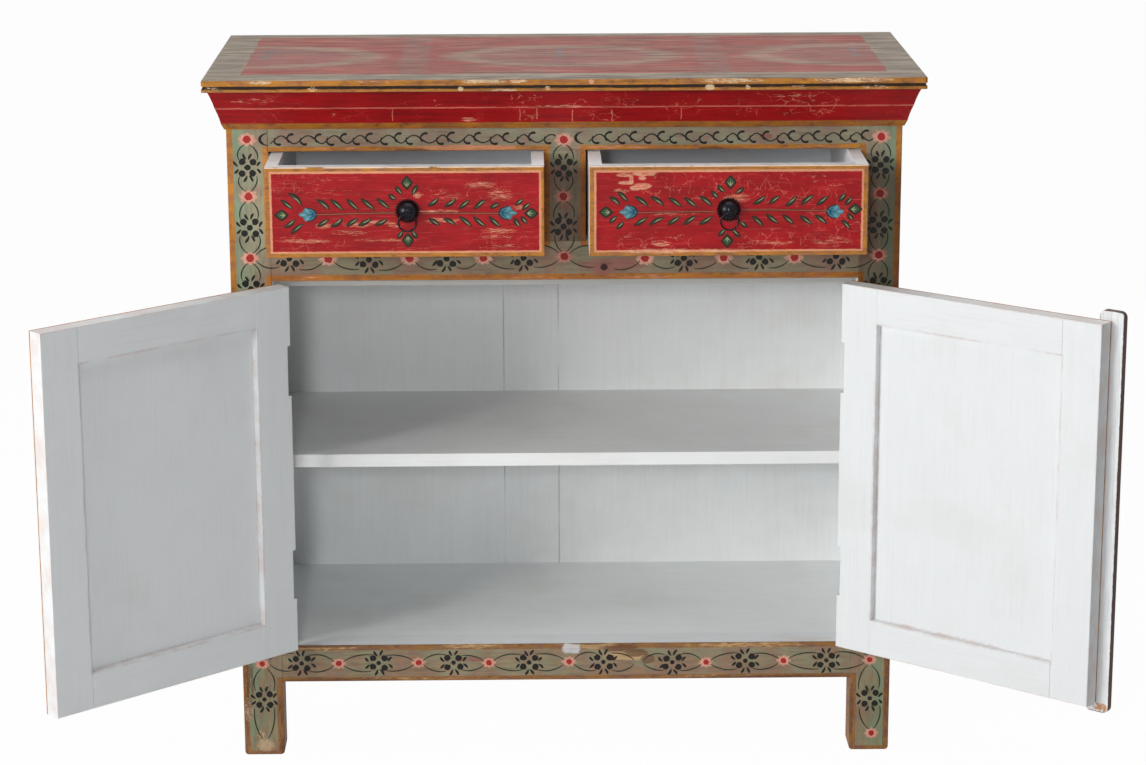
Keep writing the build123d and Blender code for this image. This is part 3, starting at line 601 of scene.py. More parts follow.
outer = most(oval(0, OVAL_W, OVAL_H), oval(-414, 172, OVAL_H + 6))
outer = most(outer, oval(414, 172, OVAL_H + 6))
inner = most(oval(0, OVAL_W - 38, OVAL_H - 25), oval(-420, 142, OVAL_H - 18))
inner = most(inner, oval(420, 142, OVAL_H - 18))
faded = between(weather, 0.40, 0.66)
rose = blend(faded, paint(150, 66, 62), paint(142, 92, 82))
grey_bar = minus(calc("ABSOLUTE", axes[0]), 199)
grey_bar = between(calc("ABSOLUTE", grey_bar), 26, 12)
grey_bar = times(grey_bar, between(rub, 0.34, 0.58))
rose = blend(grey_bar, rose, paint(134, 110, 104), 0.6)
rose = blend(outer, rose, paint(162, 146, 130), 0.66)
rose = blend(inner, rose, blend(faded, paint(148, 78, 78), paint(138, 100, 94)), 0.85)
marks = boxes(where, [(-406, -393, 0, 2000), (-11, 1, 0, 2000), (389, 401, 0, 2000)], 2.6, 148, 236)
marks = times(marks, between(grain, 0.60, 0.46))
rose = blend(marks, rose, paint(104, 118, 126), 0.65)
rose = blend(between(grain, 0.56, 0.68), rose, paint(176, 134, 124), 0.5)
spots = scuffs(where, [(-199, 933, 24, 30, 0.5), (198, 933, 24, 30, 0.4)], 172, (22, 3, 8), 18)
rose = blend(spots, rose, paint(204, 152, 140), 0.5)
border = blend(between(weather, 0.38, 0.62), paint(126, 118, 106), paint(160, 150, 136))
border = blend(between(grain, 0.56, 0.68), border, paint(180, 170, 156), 0.7)
field = use(ragged_box, Where=where, Centre=(0, (TOP_FIELD[1] + TOP_FIELD[2]) / 2, 933),
            Half=(TOP_FIELD[0], (TOP_FIELD[2] - TOP_FIELD[1]) / 2, 50), Ragged=3, Blot=22)[0]
thin_line = use(ragged_box, Where=where, Centre=(0, 188, 933), Half=(424.5, 173, 50), Ragged=0.9)[0]
line_worn = times(thin_line, between(rub, 0.50, 0.68))
worn_top = blend(line_worn, border, paint(182, 138, 106))
worn_top = blend(field, worn_top, rose, 0.94)
worn_top = blend(between(grain, 0.47, 0.36), worn_top, paint(88, 64, 54), 0.55)
worn_top = blend(between(fibre, 0.46, 0.38), worn_top, paint(92, 62, 54), 0.66)
worn_top = blend(between(fibre, 0.58, 0.64), worn_top, paint(188, 160, 144), 0.4)
seam = between(calc("ABSOLUTE", minus(axes[1], BOARD_JOINT_Y)), 2.6, 0.6)
seam = times(seam, mottle(where, (60, 60, 60), 0.40, 0.58))
worn_top = blend(seam, worn_top, paint(74, 50, 44), 0.85)

# %% Edge of the top: ochre, a dark groove and flaked places
EDGE_FLAKES = [  # x, z, half width, half height and how bare
    (-392, 930, 20, 3, 0.9), (-104, 930, 34, 3.5, 1), (-60, 930, 14, 3, 0.96), (214, 929.5, 50, 4, 0.9),
    (372, 929.5, 64, 4, 0.9), (-325, 921, 8, 4, 0.9), (-452, 922, 18, 5, 0.6), (-134, 920.5, 4, 3, 1.2),
    (-80, 918.5, 22, 2, 1), (-22, 921, 4, 3, 1.1), (187, 921, 7, 4, 1.2), (236, 921, 4, 3, 1.1),
    (34, 929, 4, 3, 1.28), (300, 921, 14, 3, 0.72), (400, 920, 30, 3, 0.64), (-250, 930, 40, 2.5, 0.4),
]
GROOVE_Z = 922.7
edge = ochre_line(where)
groove_at = plus(axes[2], times(minus(rub, 0.5), 3))
groove = between(calc("ABSOLUTE", minus(groove_at, GROOVE_Z)), 2.4, 1.5)
edge = blend(groove, edge, DARK)
flaked_edge = scuffs(where, EDGE_FLAKES, -28, (6, 6, 1.5), 14)
edge = blend(flaked_edge, edge, blend(between(rub, 0.3, 0.5), PEACH, CREAM), 0.85)
upper = between(axes[2], 931.6, 932.6)
surface = blend(upper, edge, worn_top)
under = between(axes[2], 917.6, 917.2)
surface = blend(under, surface, paint(120, 84, 54))
aged = age(where, surface, paint(176, 150, 132), (90, 2.6, 4), Uneven=0.26, Grime=0.5, Flaked=0.24,
           Cracks=0.1, Crack_size=(40, 14, 14), Gloss=0.55)
end(*aged)
dress(top_paint, "top_board_front", "top_board_back")
print("ovals:", OVAL_W * 2, "by", OVAL_H * 2, "mm; flaked places on the edge:", len(EDGE_FLAKES))

# %% [markdown]
# ## Drawer fronts
#
# Each front is crimson inside a peach line and an ochre border, and its top edge is bare and pale where
# hands have rubbed it. The two have been used differently: the left one is scuffed below its leaves, and
# the right one has lost flakes at its top left and is crazed. So one recipe takes a list of scuffs.

# %% Crimson drawer fronts
DRAWER_X = {"left": (-383.2, -27.7), "right": (30.1, 385.6)}
DRAWER_Z = (715.5, 832.5)
DRAWER_SCUFFS = {  # x, z, half width, half height and how bare
    "left": [
        (-108, 809, 24, 6, 0.77), (-84, 796, 22, 12, 0.68), (-150, 794, 34, 8, 0.51), (-267, 758, 22, 5, 0.8),
        (-243, 761, 15, 4, 0.85), (-310, 757, 13, 5, 0.9), (-226, 760, 12, 4, 0.7), (-216, 757, 14, 4, 0.7),
        (-165, 763, 18, 5, 0.8), (-145, 762, 14, 5, 0.7), (-86, 749, 30, 5, 0.77), (-90, 741, 30, 5, 0.59),
        (-335, 737, 42, 3.5, 0.85), (-275, 748, 34, 6, 0.59), (-188, 796, 9, 5, 0.8), (-60, 780, 16, 5, 0.68),
        (-165, 775, 40, 3, 0.77), (-75, 729, 46, 5, 0.51), (-300, 800, 60, 14, 0.3), (-200, 726, 90, 6, 0.42),
        (-230, 738, 60, 3, 0.68), (-320, 812, 40, 12, 0.26),
    ],
    "right": [
        (74, 821, 10, 2.5, 1.58), (83, 815, 3, 7, 1.87), (100, 822.5, 15, 3.2, 1.73), (97, 817, 5, 3, 1.87),
        (76, 811, 10, 2.6, 1.73), (97, 806.5, 12, 4.5, 1.58), (88, 804, 7, 3.5, 1.44), (318, 811, 14, 2, 0.5),
        (288, 753, 12, 2, 0.5), (120, 732, 18, 5, 0.77), (262, 732, 40, 5, 0.68), (218, 790, 22, 7, 0.85),
        (70, 800, 14, 6, 0.59), (345, 806, 18, 6, 0.51), (120, 722, 60, 4, 1.02), (300, 790, 60, 16, 0.3),
        (340, 733, 36, 12, 0.51), (190, 722, 60, 3.5, 0.85), (130, 770, 60, 3, 0.51),
    ],
}
DRAWER_CRACKS = {  # x, z, half width and half height of the places where the red is crazed
    "left": [(-340, 812, 46, 16), (-330, 735, 50, 12), (-120, 800, 60, 18), (-80, 735, 46, 14)],
    "right": [
        (150, 805, 60, 20), (300, 800, 70, 22), (340, 760, 34, 26), (110, 735, 60, 12), (280, 735, 80, 14),
        (215, 800, 22, 20),
    ],
}


def drawer_material(side, cracks):
    """Nested painted boxes: ochre, then peach, then crimson, and worn spots over them all."""
    x0, x1 = DRAWER_X[side]
    z0, z1 = DRAWER_Z
    front = -PULL[side]
    material, where = start(side + " drawer front")
    axes = split(where)
    left, right = 8.5, 6.5 if side == "left" else 8.6  # width of the border at both ends
    peach = boxes(where, [(x0 + 5.6, x1 - right + 2.8, z0 + 5.4, z1 - 5.2)], 0.45, front - 20, front + 60)
    red = boxes(where, [(x0 + left, x1 - right, z0 + 7.8, z1 - 8.2)], 0.45, front - 20, front + 60)
    deep = mottle(where, (60, 60, 7), 0.38, 0.68, 6, 0.75)
    crimson = blend(deep, CRIMSON, DEEP_RED)
    bright = mottle(where, (60, 60, 20), 0.48, 0.66, 5, 0.65)
    crimson = blend(bright, crimson, paint(180, 22, 28), 0.45)
    field = blend(peach, ochre_line(where), PEACH)
    field = blend(red, field, crimson)
    hair = cloud(where, (40, 40, 0.9), 4, 0.6)
    hair = times(between(hair, 0.60, 0.68), red)
    field = blend(hair, field, paint(214, 110, 98), 0.4)
    worn = scuffs(where, DRAWER_SCUFFS[side], front, (11, 11, 0.9))
    tint = mottle(where, (9, 9, 3), 0.42, 0.58, 4, 0.7)
    field = blend(worn, field, blend(tint, paint(220, 134, 110), paint(232, 190, 150)), 0.62)
    net = use(crazing, Where=where, Size=(13, 13, 15), Width=0.011)[0]
    spread = scuffs(where, [(*row, 3) for row in DRAWER_CRACKS[side]], front, (20, 20, 16))
    patchy = mottle(where, (12, 12, 8), 0.44, 0.56)
    net = times(net, spread, times(patchy, cracks))
    field = blend(net, field, paint(224, 132, 112))
    rubbed = between(axes[2], z1 - 1.7, z1 - 0.8)
    rubbed = times(rubbed, mottle(where, (24, 24, 24), 0.3, 0.42, 4))
    field = blend(rubbed, field, paint(230, 206, 186))
    inside = between(axes[1], front + 2.6, front + 3.2)
    field = blend(inside, field, GREY_WHITE)
    aged = age(where, field, paint(214, 112, 94), (26, 26, 2.2), Uneven=0.17, Grime=0.26, Flaked=0.14,
               Cracks=0, Gloss=0.4)
    end(*aged)
    dress(material, side + "_drawer_front")


drawer_material("left", 0.4)
drawer_material("right", 0.55)
print("scuffs:", {side: len(rows) for side, rows in DRAWER_SCUFFS.items()})

# %% [markdown]
# ## White insides
#
# Shelf, boards and drawer boxes are brushed with plain white paint. A white surface looks dead if it is
# only white: brush streaks follow each board, faint stains lie across it, and the middle of the shelf and
# of the back is scuffed. The streak direction is the one thing that differs per board.

# %% White paint, and the bare wood of the back
def bare_wood(where, along):
    """Softwood: broad rings and fine fibres, stretched along the board. Gives its colour and fibres."""
    rings = cloud(where, [200 if k == along else 8 for k in range(3)], 3, 0.5)
    fibre = cloud(where, [60 if k == along else 1 for k in range(3)], 4, 0.7)
    colour = blend(between(rings, 0.35, 0.65), paint(196, 158, 112), paint(164, 120, 78))
    return blend(between(fibre, 0.45, 0.7), colour, paint(120, 82, 52), 0.5), fibre


BACK_FACE = 374  # depth of the outside of the back boards
BACK_SEAMS = (-85, -6)  # x of the joints between the back boards


def white_material(name, streak, colour, marks=(), back_face=None):
    """Brushed white with faint stains. marks are worn spots, and back_face is the depth from which the back
    boards are bare; their joints show as thin lines on both faces."""
    material, where = start(name)
    stain = mottle(where, (160, 160, 120), 0.48, 0.74, 5, 0.6)
    field = blend(stain, colour, paint(196, 186, 172), 0.16)
    if marks:
        worn = scuffs(where, marks, 200, (26, 26, 8), 200)
        field = blend(worn, field, paint(236, 236, 232), 0.5)
    aged = age(where, field, paint(206, 192, 178), streak, Uneven=0.025, Grime=0.05, Flaked=-0.1, Cracks=0,
               Gloss=0.42)
    tone = aged["Color"]
    if back_face:
        depth = split(where)[1]
        bare = between(depth, back_face - 1, back_face - 0.5)
        tone = blend(bare, tone, bare_wood(where, 2)[0])
        seams = boxes(where, [(x - 1, x + 1, 0, 900) for x in BACK_SEAMS], 0.5, 340, 400)
        patchy = mottle(where, (20, 20, 90), 0.30, 0.62)
        seams = times(seams, patchy, plus(times(bare, 0.5), 0.4))
        tone = blend(seams, tone, blend(bare, paint(112, 96, 82), paint(40, 26, 18)))
    end(tone, aged["Roughness"], aged["Height"], THIN_COAT)
    return material


white_across = white_material("white boards across", (110, 5, 5), WHITE,
                              [(-40, 410, 90, 40, 0.5), (60, 160, 120, 40, 0.4)])
white_upright = white_material("white boards upright", (4, 4, 110), WHITE,
                               [(-110, 560, 90, 22, 0.7), (-80, 300, 60, 20, 0.5)], back_face=BACK_FACE)
drawer_inside = white_material("drawer inside", (60, 60, 4), paint(240, 243, 246))
# Painted shade: the door stop gets a darker, greyer white, as if in the shade under the middle rail.
door_stop_shaded_white = white_material("door stop painted shade white", (90, 5, 5), paint(172, 170, 166))
dress(white_across, "shelf", "shelf_cleats", "floor_boards")
dress(door_stop_shaded_white, "door_stop")
dress(white_upright, "back_boards")
for side in ("left", "right"):
    dress(drawer_inside, *[side + "_drawer_" + part for part in ("sides", "back", "bottom")])

# %% [markdown]
# ## Bare wood
#
# Rails, runners and cleats that never show were left bare. Their grain is the one described above, laid
# along the board.

# %% Softwood
def wood_material(name, along):
    """Bare softwood with its grain along one axis."""
    material, where = start(name)
    colour, fibre = bare_wood(where, along)
    end(colour, plus(0.6, times(fibre, 0.2)), fibre)
    return material


dress(wood_material("softwood along x", 0), "back_rails", "floor_cleats")
dress(wood_material("softwood along y", 1), "drawer_runners", "drawer_guides", "drawer_kickers",
      "drawer_stops")

# %% [markdown]
# ## Iron and steel
#
# The pulls are black iron, polished by hands on the tips and dull in the hollows. The hinges are plain
# steel, with brown spots. Metal has no colour of its own in shade, so its look lies in its roughness.

# %% Iron and steel
def metal_material(name, colour, spots, rough):
    """Metal with smudged roughness and a few darker or rusty spots."""
    material, where = start(name)
    smudge = cloud(where, (7, 7, 7), 5, 0.65)
    spot = mottle(where, (3, 3, 3), 0.52, 0.66, 4, 0.7)
    tone = blend(spot, colour, spots)
    dull = plus(rough, times(minus(smudge, 0.4), 0.35))
    end(tone, dull, smudge, 0.0001, Metallic=1)
    return material


iron = metal_material("black iron", paint(36, 36, 40), paint(24, 23, 25), 0.2)
steel = metal_material("dull steel", paint(170, 168, 162), paint(120, 84, 60), 0.4)
dress(iron, *[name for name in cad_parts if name.endswith(("_boss", "_ring"))])
dress(steel, *[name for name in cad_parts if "hinge_" in name])

# %% [markdown]
# ## Doors
#
# A door is two paints back to back: plain white inside, and the same crimson, sage and ochre as the rest
# outside. The material measures the door as if it were shut, so a depth of a few millimetres parts the two.

# %% Doors, white inside and painted outside
DOOR_WHITE = paint(226, 229, 231)
DOOR_FIELD = (55.5, 329.5, 207.5, 612.5)  # the panel's opening, from the middle outwards, foot and head


def crimson_ground(where):
    """Crimson with deeper upright streaks."""
    return blend(mottle(where, (14, 14, 120), 0.36, 0.66, 5, 0.7), CRIMSON, DEEP_RED)


def door_material(side, upright_grain):
    """White where the depth is more than a few mm, painted fields in front of that."""
    material, where = start(side + (" door stiles" if upright_grain else " door rails"), side)
    twin, _, axes = mirrored(where)
    streak = (4, 4, 110) if upright_grain else (110, 110, 4)

    def grown(box, more, ragged):
        """The inside of a painted box that is larger by some mm on each side."""
        x0, x1, z0, z1 = box
        return boxes(twin, [(x0 - more, x1 + more, z0 - more, z1 + more)], ragged, -30, 60)

    panel = grown(DOOR_FIELD, 0, 0.2)
    rim = minus(grown(DOOR_FIELD, 2.6, 0.8), grown(DOOR_FIELD, -2, 0.8))
    arris = minus(1, grown(DOOR, -1.6, 0.8))
    patchy = mottle(where, (60, 60, 60), 0.40, 0.62, 5, 0.7)
    stain = mottle(where, (180, 180, 140), 0.48, 0.74, 5, 0.6)
    white = blend(stain, DOOR_WHITE, paint(196, 188, 180), 0.14)
    white = blend(times(rim, patchy), white, paint(186, 142, 126), 0.32)
    white = blend(times(arris, patchy), white, paint(206, 160, 140), 0.25)
    lines = most(minus(1, grown(DOOR, -8, 0.5)), minus(grown(DOOR_FIELD, 7, 0.5), panel))
    ochre = ochre_line(where)
    inlay = blend(grown(DOOR_FIELD, -10, 0.4), ochre, PEACH)
    inlay = blend(grown(DOOR_FIELD, -14, 0.4), inlay, crimson_ground(where))
    outside = blend(panel, blend(lines, sage_ground(where), ochre), inlay)
    depth = most(between(axes[1], 3.4, 2.4), times(panel, between(axes[1], 10, 9)))
    aged_out = age(where, outside, paint(218, 150, 120), streak, Uneven=0.22, Flaked=0.18, Cracks=0.5,
                   Crack_size=(18, 18, 22), Gloss=0.4)
    aged_in = age(where, white, paint(214, 200, 190), streak, Uneven=0.02, Grime=0.05, Flaked=-0.1, Cracks=0,
                  Gloss=0.42)
    end(blend(depth, aged_in[0], aged_out[0]), aged_in[1], aged_in[2], THIN_COAT)
    return material


for side in ("left", "right"):
    stiles = door_material(side, True)
    rails = door_material(side, False)
    panels = ["panel"] if side == "left" else ["panel_narrow", "panel_wide"]
    dress(stiles, *[side + "_door_" + part for part in ("hinge_stile", "meeting_stile", *panels)])
    dress(rails, side + "_door_top_rail", side + "_door_bottom_rail")

# %% [markdown]
# ## Meeting strip
#
# The strip that covers the gap between the doors is fixed to the right one. Its front and edges are dark
# red-brown, and its back is white where it was painted together with the inside.

# %% Meeting strip
strip, where = start("meeting strip", "right")
axes = split(where)
edge = between(axes[1], -1.6, -2.4)
side_edge = minus(1, boxes(where, [(-15.8, 17, 147.5, 672.5)], 0.5, -40, 40))
edge = most(edge, side_edge)
red = blend(mottle(where, (12, 12, 90), 0.36, 0.66, 5, 0.7), paint(88, 56, 44), paint(64, 44, 36))
chips = scuffs(where, [(-6, 153, 12, 8, 1)], -2, (5, 5, 6))
tone = blend(edge, DOOR_WHITE, red)
tone = blend(chips, tone, paint(200, 146, 108))
aged = age(where, tone, paint(200, 150, 120), (4, 4, 90), Uneven=0.1, Flaked=0.06, Cracks=0, Gloss=0.42)
end(*aged)
dress(strip, "right_door_meeting_strip")

# %% [markdown]
# ## Sides
#
# The sides are framed like the doors: sage posts and rails, and a crimson panel above and below the middle
# rail, each with a peach line. They are simpler than the front, as on most painted furniture.

# %% Sides and back posts
def side_material(name, streak):
    """Sage posts and rails, crimson panels with an ochre and a peach line, and bare wood at the back."""
    material, where = start(name)
    twin, far, axes = mirrored(where)
    ground = sage_ground(where)
    panel = between(minus(far, 433), 0.6, -0.6)
    def inside(inset):
        """Both panels' fields, so many mm smaller than their openings on each side."""
        return most(*[use(ragged_box, Where=twin, Centre=(430, 189.5, (low + high) / 2),
                          Half=(30, 189.5 - 45 - inset, (high - low) / 2 - inset), Ragged=0.4)[0] for low,
                      high in PANELS_Z])

    peach, red = inside(12), inside(16)
    inlay = blend(red, blend(peach, OCHRE, PEACH), crimson_ground(where))
    tone = blend(panel, ground, inlay)
    aged = age(where, tone, paint(214, 150, 120), streak, Uneven=0.22, Flaked=0.2, Cracks=0.45,
               Crack_size=(20, 20, 18), Gloss=0.45)
    tone = blend(between(far, 424.6, 423.4), aged["Color"], paint(228, 231, 233))
    tone = blend(between(axes[1], 386.8, 387.4), tone, bare_wood(where, 2)[0])
    end(tone, aged["Roughness"], aged["Height"])
    return material


PANELS_Z = ((FLOOR_Z, DOORWAY_Z), (BAY_Z, BAY_TOP))
sides_upright = side_material("sides upright", (4, 4, 100))
sides_along = side_material("sides along", (60, 90, 4))
dress(sides_upright, "side_panels", "post_back_left", "post_back_right")
dress(sides_along, "side_rails")
print("still undressed:", sorted(undressed))

# %% [markdown]
# ## Brush strokes as thin shells
#
# A petal or a leaf could be a picture laid on the wood, but a picture blurs when looked at closely. Here
# each stroke is a real, very thin shell: its rim sinks a little into the wood and its middle stands a tenth
# of a millimetre proud, like a full brush of paint. There are two kinds. A blob is a closed outline drawn in
# towards its middle, and a ribbon is a path with a width that swells and narrows.

# %% Blobs and ribbons
SINK, RISE, CROWN = 0.06, 0.10, 0.03  # mm under and over the surface, and more in the middle
SHOULDER = 0.85  # the size of a blob where it is at its full height


def blobs(outlines, lift=0.0):
    """Shells from closed outlines, an array of shapes, points and 2. The outline is the rim, a copy at
    85 percent of its size is the shoulder, and the two are closed by fans to the middle, above and below."""
    rim = np.asarray(outlines, float)
    count, points = rim.shape[:2]
    middle = rim.mean(1, keepdims=True)
    shoulder = middle + SHOULDER * (rim - middle)
    ones = np.ones((count, points, 1))
    one = np.ones((count, 1, 1))
    vertices = np.concatenate([
        np.concatenate([rim, -SINK * ones], 2),
        np.concatenate([shoulder, (RISE + lift) * ones], 2),
        np.concatenate([middle, (RISE + lift + CROWN) * one], 2),
        np.concatenate([middle, -SINK * one], 2),
    ], 1)
    here = np.arange(points)
    there = np.roll(here, -1)
    top_at = np.full(points, 2 * points)
    side_faces = np.stack([here, there, there + points, here + points], 1)
    cap_faces = np.concatenate([
        np.stack([here + points, there + points, top_at], 1),
        np.stack([there, here, top_at + 1], 1),
    ])
    step = (2 * points + 2) * np.arange(count)[:, None, None]
    quads = (side_faces[None] + step).reshape(-1, 4)
    triangles = (cap_faces[None] + step).reshape(-1, 3)
    return vertices.reshape(-1, 3), quads, triangles


def ribbons(paths, widths, lift=0.0):
    """Shells along paths, an array of shapes, points and 2. Each point's neighbours give the direction, and
    a low arch of four points is carried along it, scaled by the half width there. Both ends are closed."""
    line = np.asarray(paths, float)
    count, points = line.shape[:2]
    half = np.broadcast_to(widths, (count, points))[..., None]
    along = np.gradient(line, axis=1)
    along /= np.maximum(np.linalg.norm(along, axis=2, keepdims=True), 1e-9)
    aside = np.stack([-along[..., 1], along[..., 0]], 2)
    arch = ((1.0, -SINK), (0.62, RISE + lift), (-0.62, RISE + lift), (-1.0, -SINK))
    rows = [np.concatenate([line + across_ * half * aside, np.full((count, points, 1), up)], 2) for across_,
            up in arch]
    vertices = np.stack(rows, 2).reshape(-1, 3)
    k = np.arange(points - 1)[:, None] * 4
    j = np.arange(4)[None]
    nxt = (j + 1) % 4
    tube = np.stack([k + j, k + nxt, k + 4 + nxt, k + 4 + j], 2).reshape(-1, 4)
    last = 4 * (points - 1)
    caps = np.array([[3, 2, 1, 0], [last, last + 1, last + 2, last + 3]])
    step = (4 * points) * np.arange(count)[:, None, None]
    quads = (np.concatenate([tube, caps])[None] + step).reshape(-1, 4)
    return vertices, quads, np.zeros((0, 3), int)


def on_front(y=0.0):
    """Stands a drawing on a face that looks forwards at depth y."""
    return lambda u, v, h: np.stack([u, y - h, v], 1)


def on_door(side, y=0.0):
    """Stands a drawing on the outside of a door, y behind its frame, and swings it open with the door."""
    angle = -SHUTTING[side]
    spin = turn_by(angle)

    def place(u, v, h):
        flat = np.stack([u, y - h], 1) - PIN[side]
        return np.column_stack([flat @ spin.T + PIN[side], v])
    return place


def on_side(sign, x=HALF):
    """Stands a drawing on the left (-1) or right (1) side. It is drawn from front to back."""
    return lambda u, v, h: np.stack([np.full_like(u, sign * x) + sign * h, sign * u, v], 1)


def painted(name, shells, place, material, body, slot):
    """Joins shells into one piece, puts it where it belongs and lets it ride on its body."""
    vertices, faces, base = [], [], 0
    for points, quads, triangles in shells:
        vertices.append(place(points[:, 0], points[:, 1], points[:, 2]))
        faces += (quads + base).tolist() + (triangles + base).tolist()
        base += len(points)
    mesh = bpy.data.meshes.new(name)
    mesh.from_pydata(metres(np.concatenate(vertices)).tolist(), [], faces)
    mesh.materials.append(material)
    piece = bpy.data.objects.new(name, mesh)
    bpy.context.scene.collection.objects.link(piece)
    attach(piece, body)
    print(name, len(faces), "faces")


def surface(prefix, place, body, slot):
    """A function that lays shells of one paint on one surface. The names of its pieces begin with prefix."""
    def lay(name, shells, material):
        painted(f"{prefix}_{name}", shells, place, material, body, slot)
    return lay


on_frame = surface("frame", on_front(), "carcass", "frame_paint")


def brush_material(name, colour, ground, wear=0.3, uneven=0.2, gloss=0.45, side=None, in_drawer_shadow=False):
    """A stroke's colour, with thin places where the ground shows through; where asked, darkened by the
    painted shadow of the drawers.
    """
    material, where = start(name, side)
    # Painted shadow: the drawers' shadow on the divider and the right post darkens the stroke too.
    if in_drawer_shadow:
        colour = calc3("MULTIPLY", drawer_shadow_tint(where), colour[:3])
    aged = age(where, colour, ground, (5.0, 5.0, 2.4), Uneven=uneven, Grime=0.3, Flaked=wear, Cracks=0.0,
               Gloss=gloss)
    end(aged["Color"], aged["Roughness"])
    return material


# %% [markdown]
# ## Shapes the brush makes
#
# The whole decoration is made from six strokes: a ragged flower with its red heart, a dot, a leaf, a
# pointed leaf, a curl and a thin vine. Each is a formula on arrays, so a hundred dots cost one line.
# A seeded random generator gives every stroke its own small error, the same in each run.

# %% Strokes
hand = np.random.default_rng(11)


def around(points):
    """Angles once round, without the end point."""
    return np.linspace(0, 2 * math.pi, points, endpoint=False)


def petals(centres, wide=11.8, high=10.2, size=1.0, count=8):
    """Radius = 1 at each petal's tip and 0.8 between two, longer to both sides by a cosine of twice the
    angle, with a little error in each point."""
    centres = np.asarray(centres, float)
    angle = around(5 * count)
    wave = 0.90 + 0.10 * np.cos(count * angle)
    error = hand.normal(0, 0.045, (len(centres), len(angle)))
    radius = wave * (1 + error) * np.broadcast_to(size, len(centres))[:, None]
    turned = angle + hand.uniform(-0.2, 0.2, (len(centres), 1))
    radius = radius * (1 + 0.07 * np.cos(2 * turned))
    return centres[:, None] + np.stack([wide * radius * np.cos(turned), high * radius * np.sin(turned)], 2)


def dots(centres, radius, points=14, error=0.06):
    """A round dot: a circle with a small error in its radius."""
    centres = np.asarray(centres, float)
    angle = around(points)
    wobble = 1 + hand.normal(0, error, (len(centres), points))
    radii = np.broadcast_to(radius, len(centres))[:, None] * wobble
    return centres[:, None] + np.stack([radii * np.cos(angle), radii * np.sin(angle)], 2)


def leaf_paths(starts, ends, bend=0.0, points=9):
    """A gently bent line from start to end: a straight line plus a sine's bow across it."""
    starts, ends = np.asarray(starts, float), np.asarray(ends, float)
    t = np.linspace(0, 1, points)[None, :, None]
    across_ = np.stack([-(ends - starts)[:, 1], (ends - starts)[:, 0]], 1)[:, None]
    bow = np.broadcast_to(bend, len(starts))[:, None, None]
    return starts[:, None] + t * (ends - starts)[:, None] + bow * np.sin(math.pi * t) * across_


def leaf_width(widest, points=9, tip=0.12, lean=1.0, blunt=0.8):
    """Half width along a leaf: a sine, pushed to one end by lean and fuller at both ends where blunt is
    small, never quite nothing."""
    t = np.linspace(0, 1, points) ** lean
    return np.maximum(np.sin(math.pi * t) ** blunt * widest, tip)


# %% [markdown]
# ## Flowers, dots and vines on the frame
#
# Down each post and along each rail, a pink flower with a red heart takes turns with a cluster of five black
# dots among eight short leaves. Thin vines bow out from each flower to the next cluster, so that they look
# like beads. The places of flowers and clusters are listed, and everything round them is worked out.

# %% Flowers and clusters on the frame
POST_FLOWER_Z = [851.2, 776.0, 693.5, 611, 529, 447, 365, 286, 209, 131]
BEADS = {
    "post left": [(-413.3, z) for z in POST_FLOWER_Z],
    "post right": [(412.4, z - 0.8) for z in POST_FLOWER_Z],
    "divider": [(-1.3, 848.7), (-2.0, 773.8), (-1.3, 693.4)],
}
RAIL_MIDDLE = [
    (-412.5, 694), (-311, 692), (-204.5, 692), (-107.5, 692), (-1.3, 693.3), (105, 690.5), (208.3, 690.8),
    (301.3, 690.5), (411.5, 691.5),
]
RAIL_BOTTOM = [
    (-410, 134), (-309.5, 130.7), (-201.3, 131), (-105.8, 130), (3.0, 130.7), (98, 129.5), (189.5, 128.3),
    (295, 130), (412, 128.5),
]
feet_clusters = [(-412, 79.5), (413, 75)]
foot_flower = (416.5, 24)
print("flowers down a post:", len(POST_FLOWER_Z))


def halfway(beads):
    """The point between each flower and the next."""
    beads = np.array(beads, float)
    return (beads[1:] + beads[:-1]) / 2


upright_beads = [np.array(row) for row in BEADS.values()]
upright_clusters = np.concatenate([halfway(row) for row in upright_beads] + [np.array(feet_clusters)])
rail_clusters = np.concatenate([halfway(RAIL_MIDDLE), halfway(RAIL_BOTTOM)])
KNOT = np.array([52.0, 683.0])
rail_clusters = rail_clusters[np.linalg.norm(rail_clusters - KNOT, axis=1) > 20]  # a knot has swallowed one
LOST = 5  # this flower of the bottom rail has gone under a knot
flowers = np.concatenate(upright_beads + [np.array(RAIL_MIDDLE)[1:4], np.array(RAIL_MIDDLE)[5:8],
                                          np.array(RAIL_BOTTOM)[1:LOST], np.array(RAIL_BOTTOM)[LOST + 1:8],
                                          np.array([foot_flower])])


def cluster(centres, wide, high):
    """Four dots at the corners of a box and one in the middle, and a fan of two leaves at each side."""
    centres = np.asarray(centres, float) + hand.normal(0, 0.5, (len(centres), 2))
    corners = np.array([(-1, -1), (1, -1), (1, 1), (-1, 1)])
    outer_dots = (centres[:, None] + corners * (wide, high)).reshape(-1, 2)
    outer_dots += hand.normal(0, 0.45, outer_dots.shape)
    root = np.concatenate([corners * (wide + 4.6, 1.4), corners * (1.3, high + 2.8)])
    tip = np.concatenate([corners * (wide + 10.4, 8.0), corners * (6.0, high + 11.4)])
    return outer_dots, centres, centres[:, None] + root, centres[:, None] + tip


def leaf_pairs(inner_end, outer_end):
    """Flattens starts and ends of all leaves and gives each a small error."""
    a_, b_ = inner_end.reshape(-1, 2), outer_end.reshape(-1, 2)
    return a_ + hand.normal(0, 0.35, a_.shape), b_ + hand.normal(0, 0.5, b_.shape)


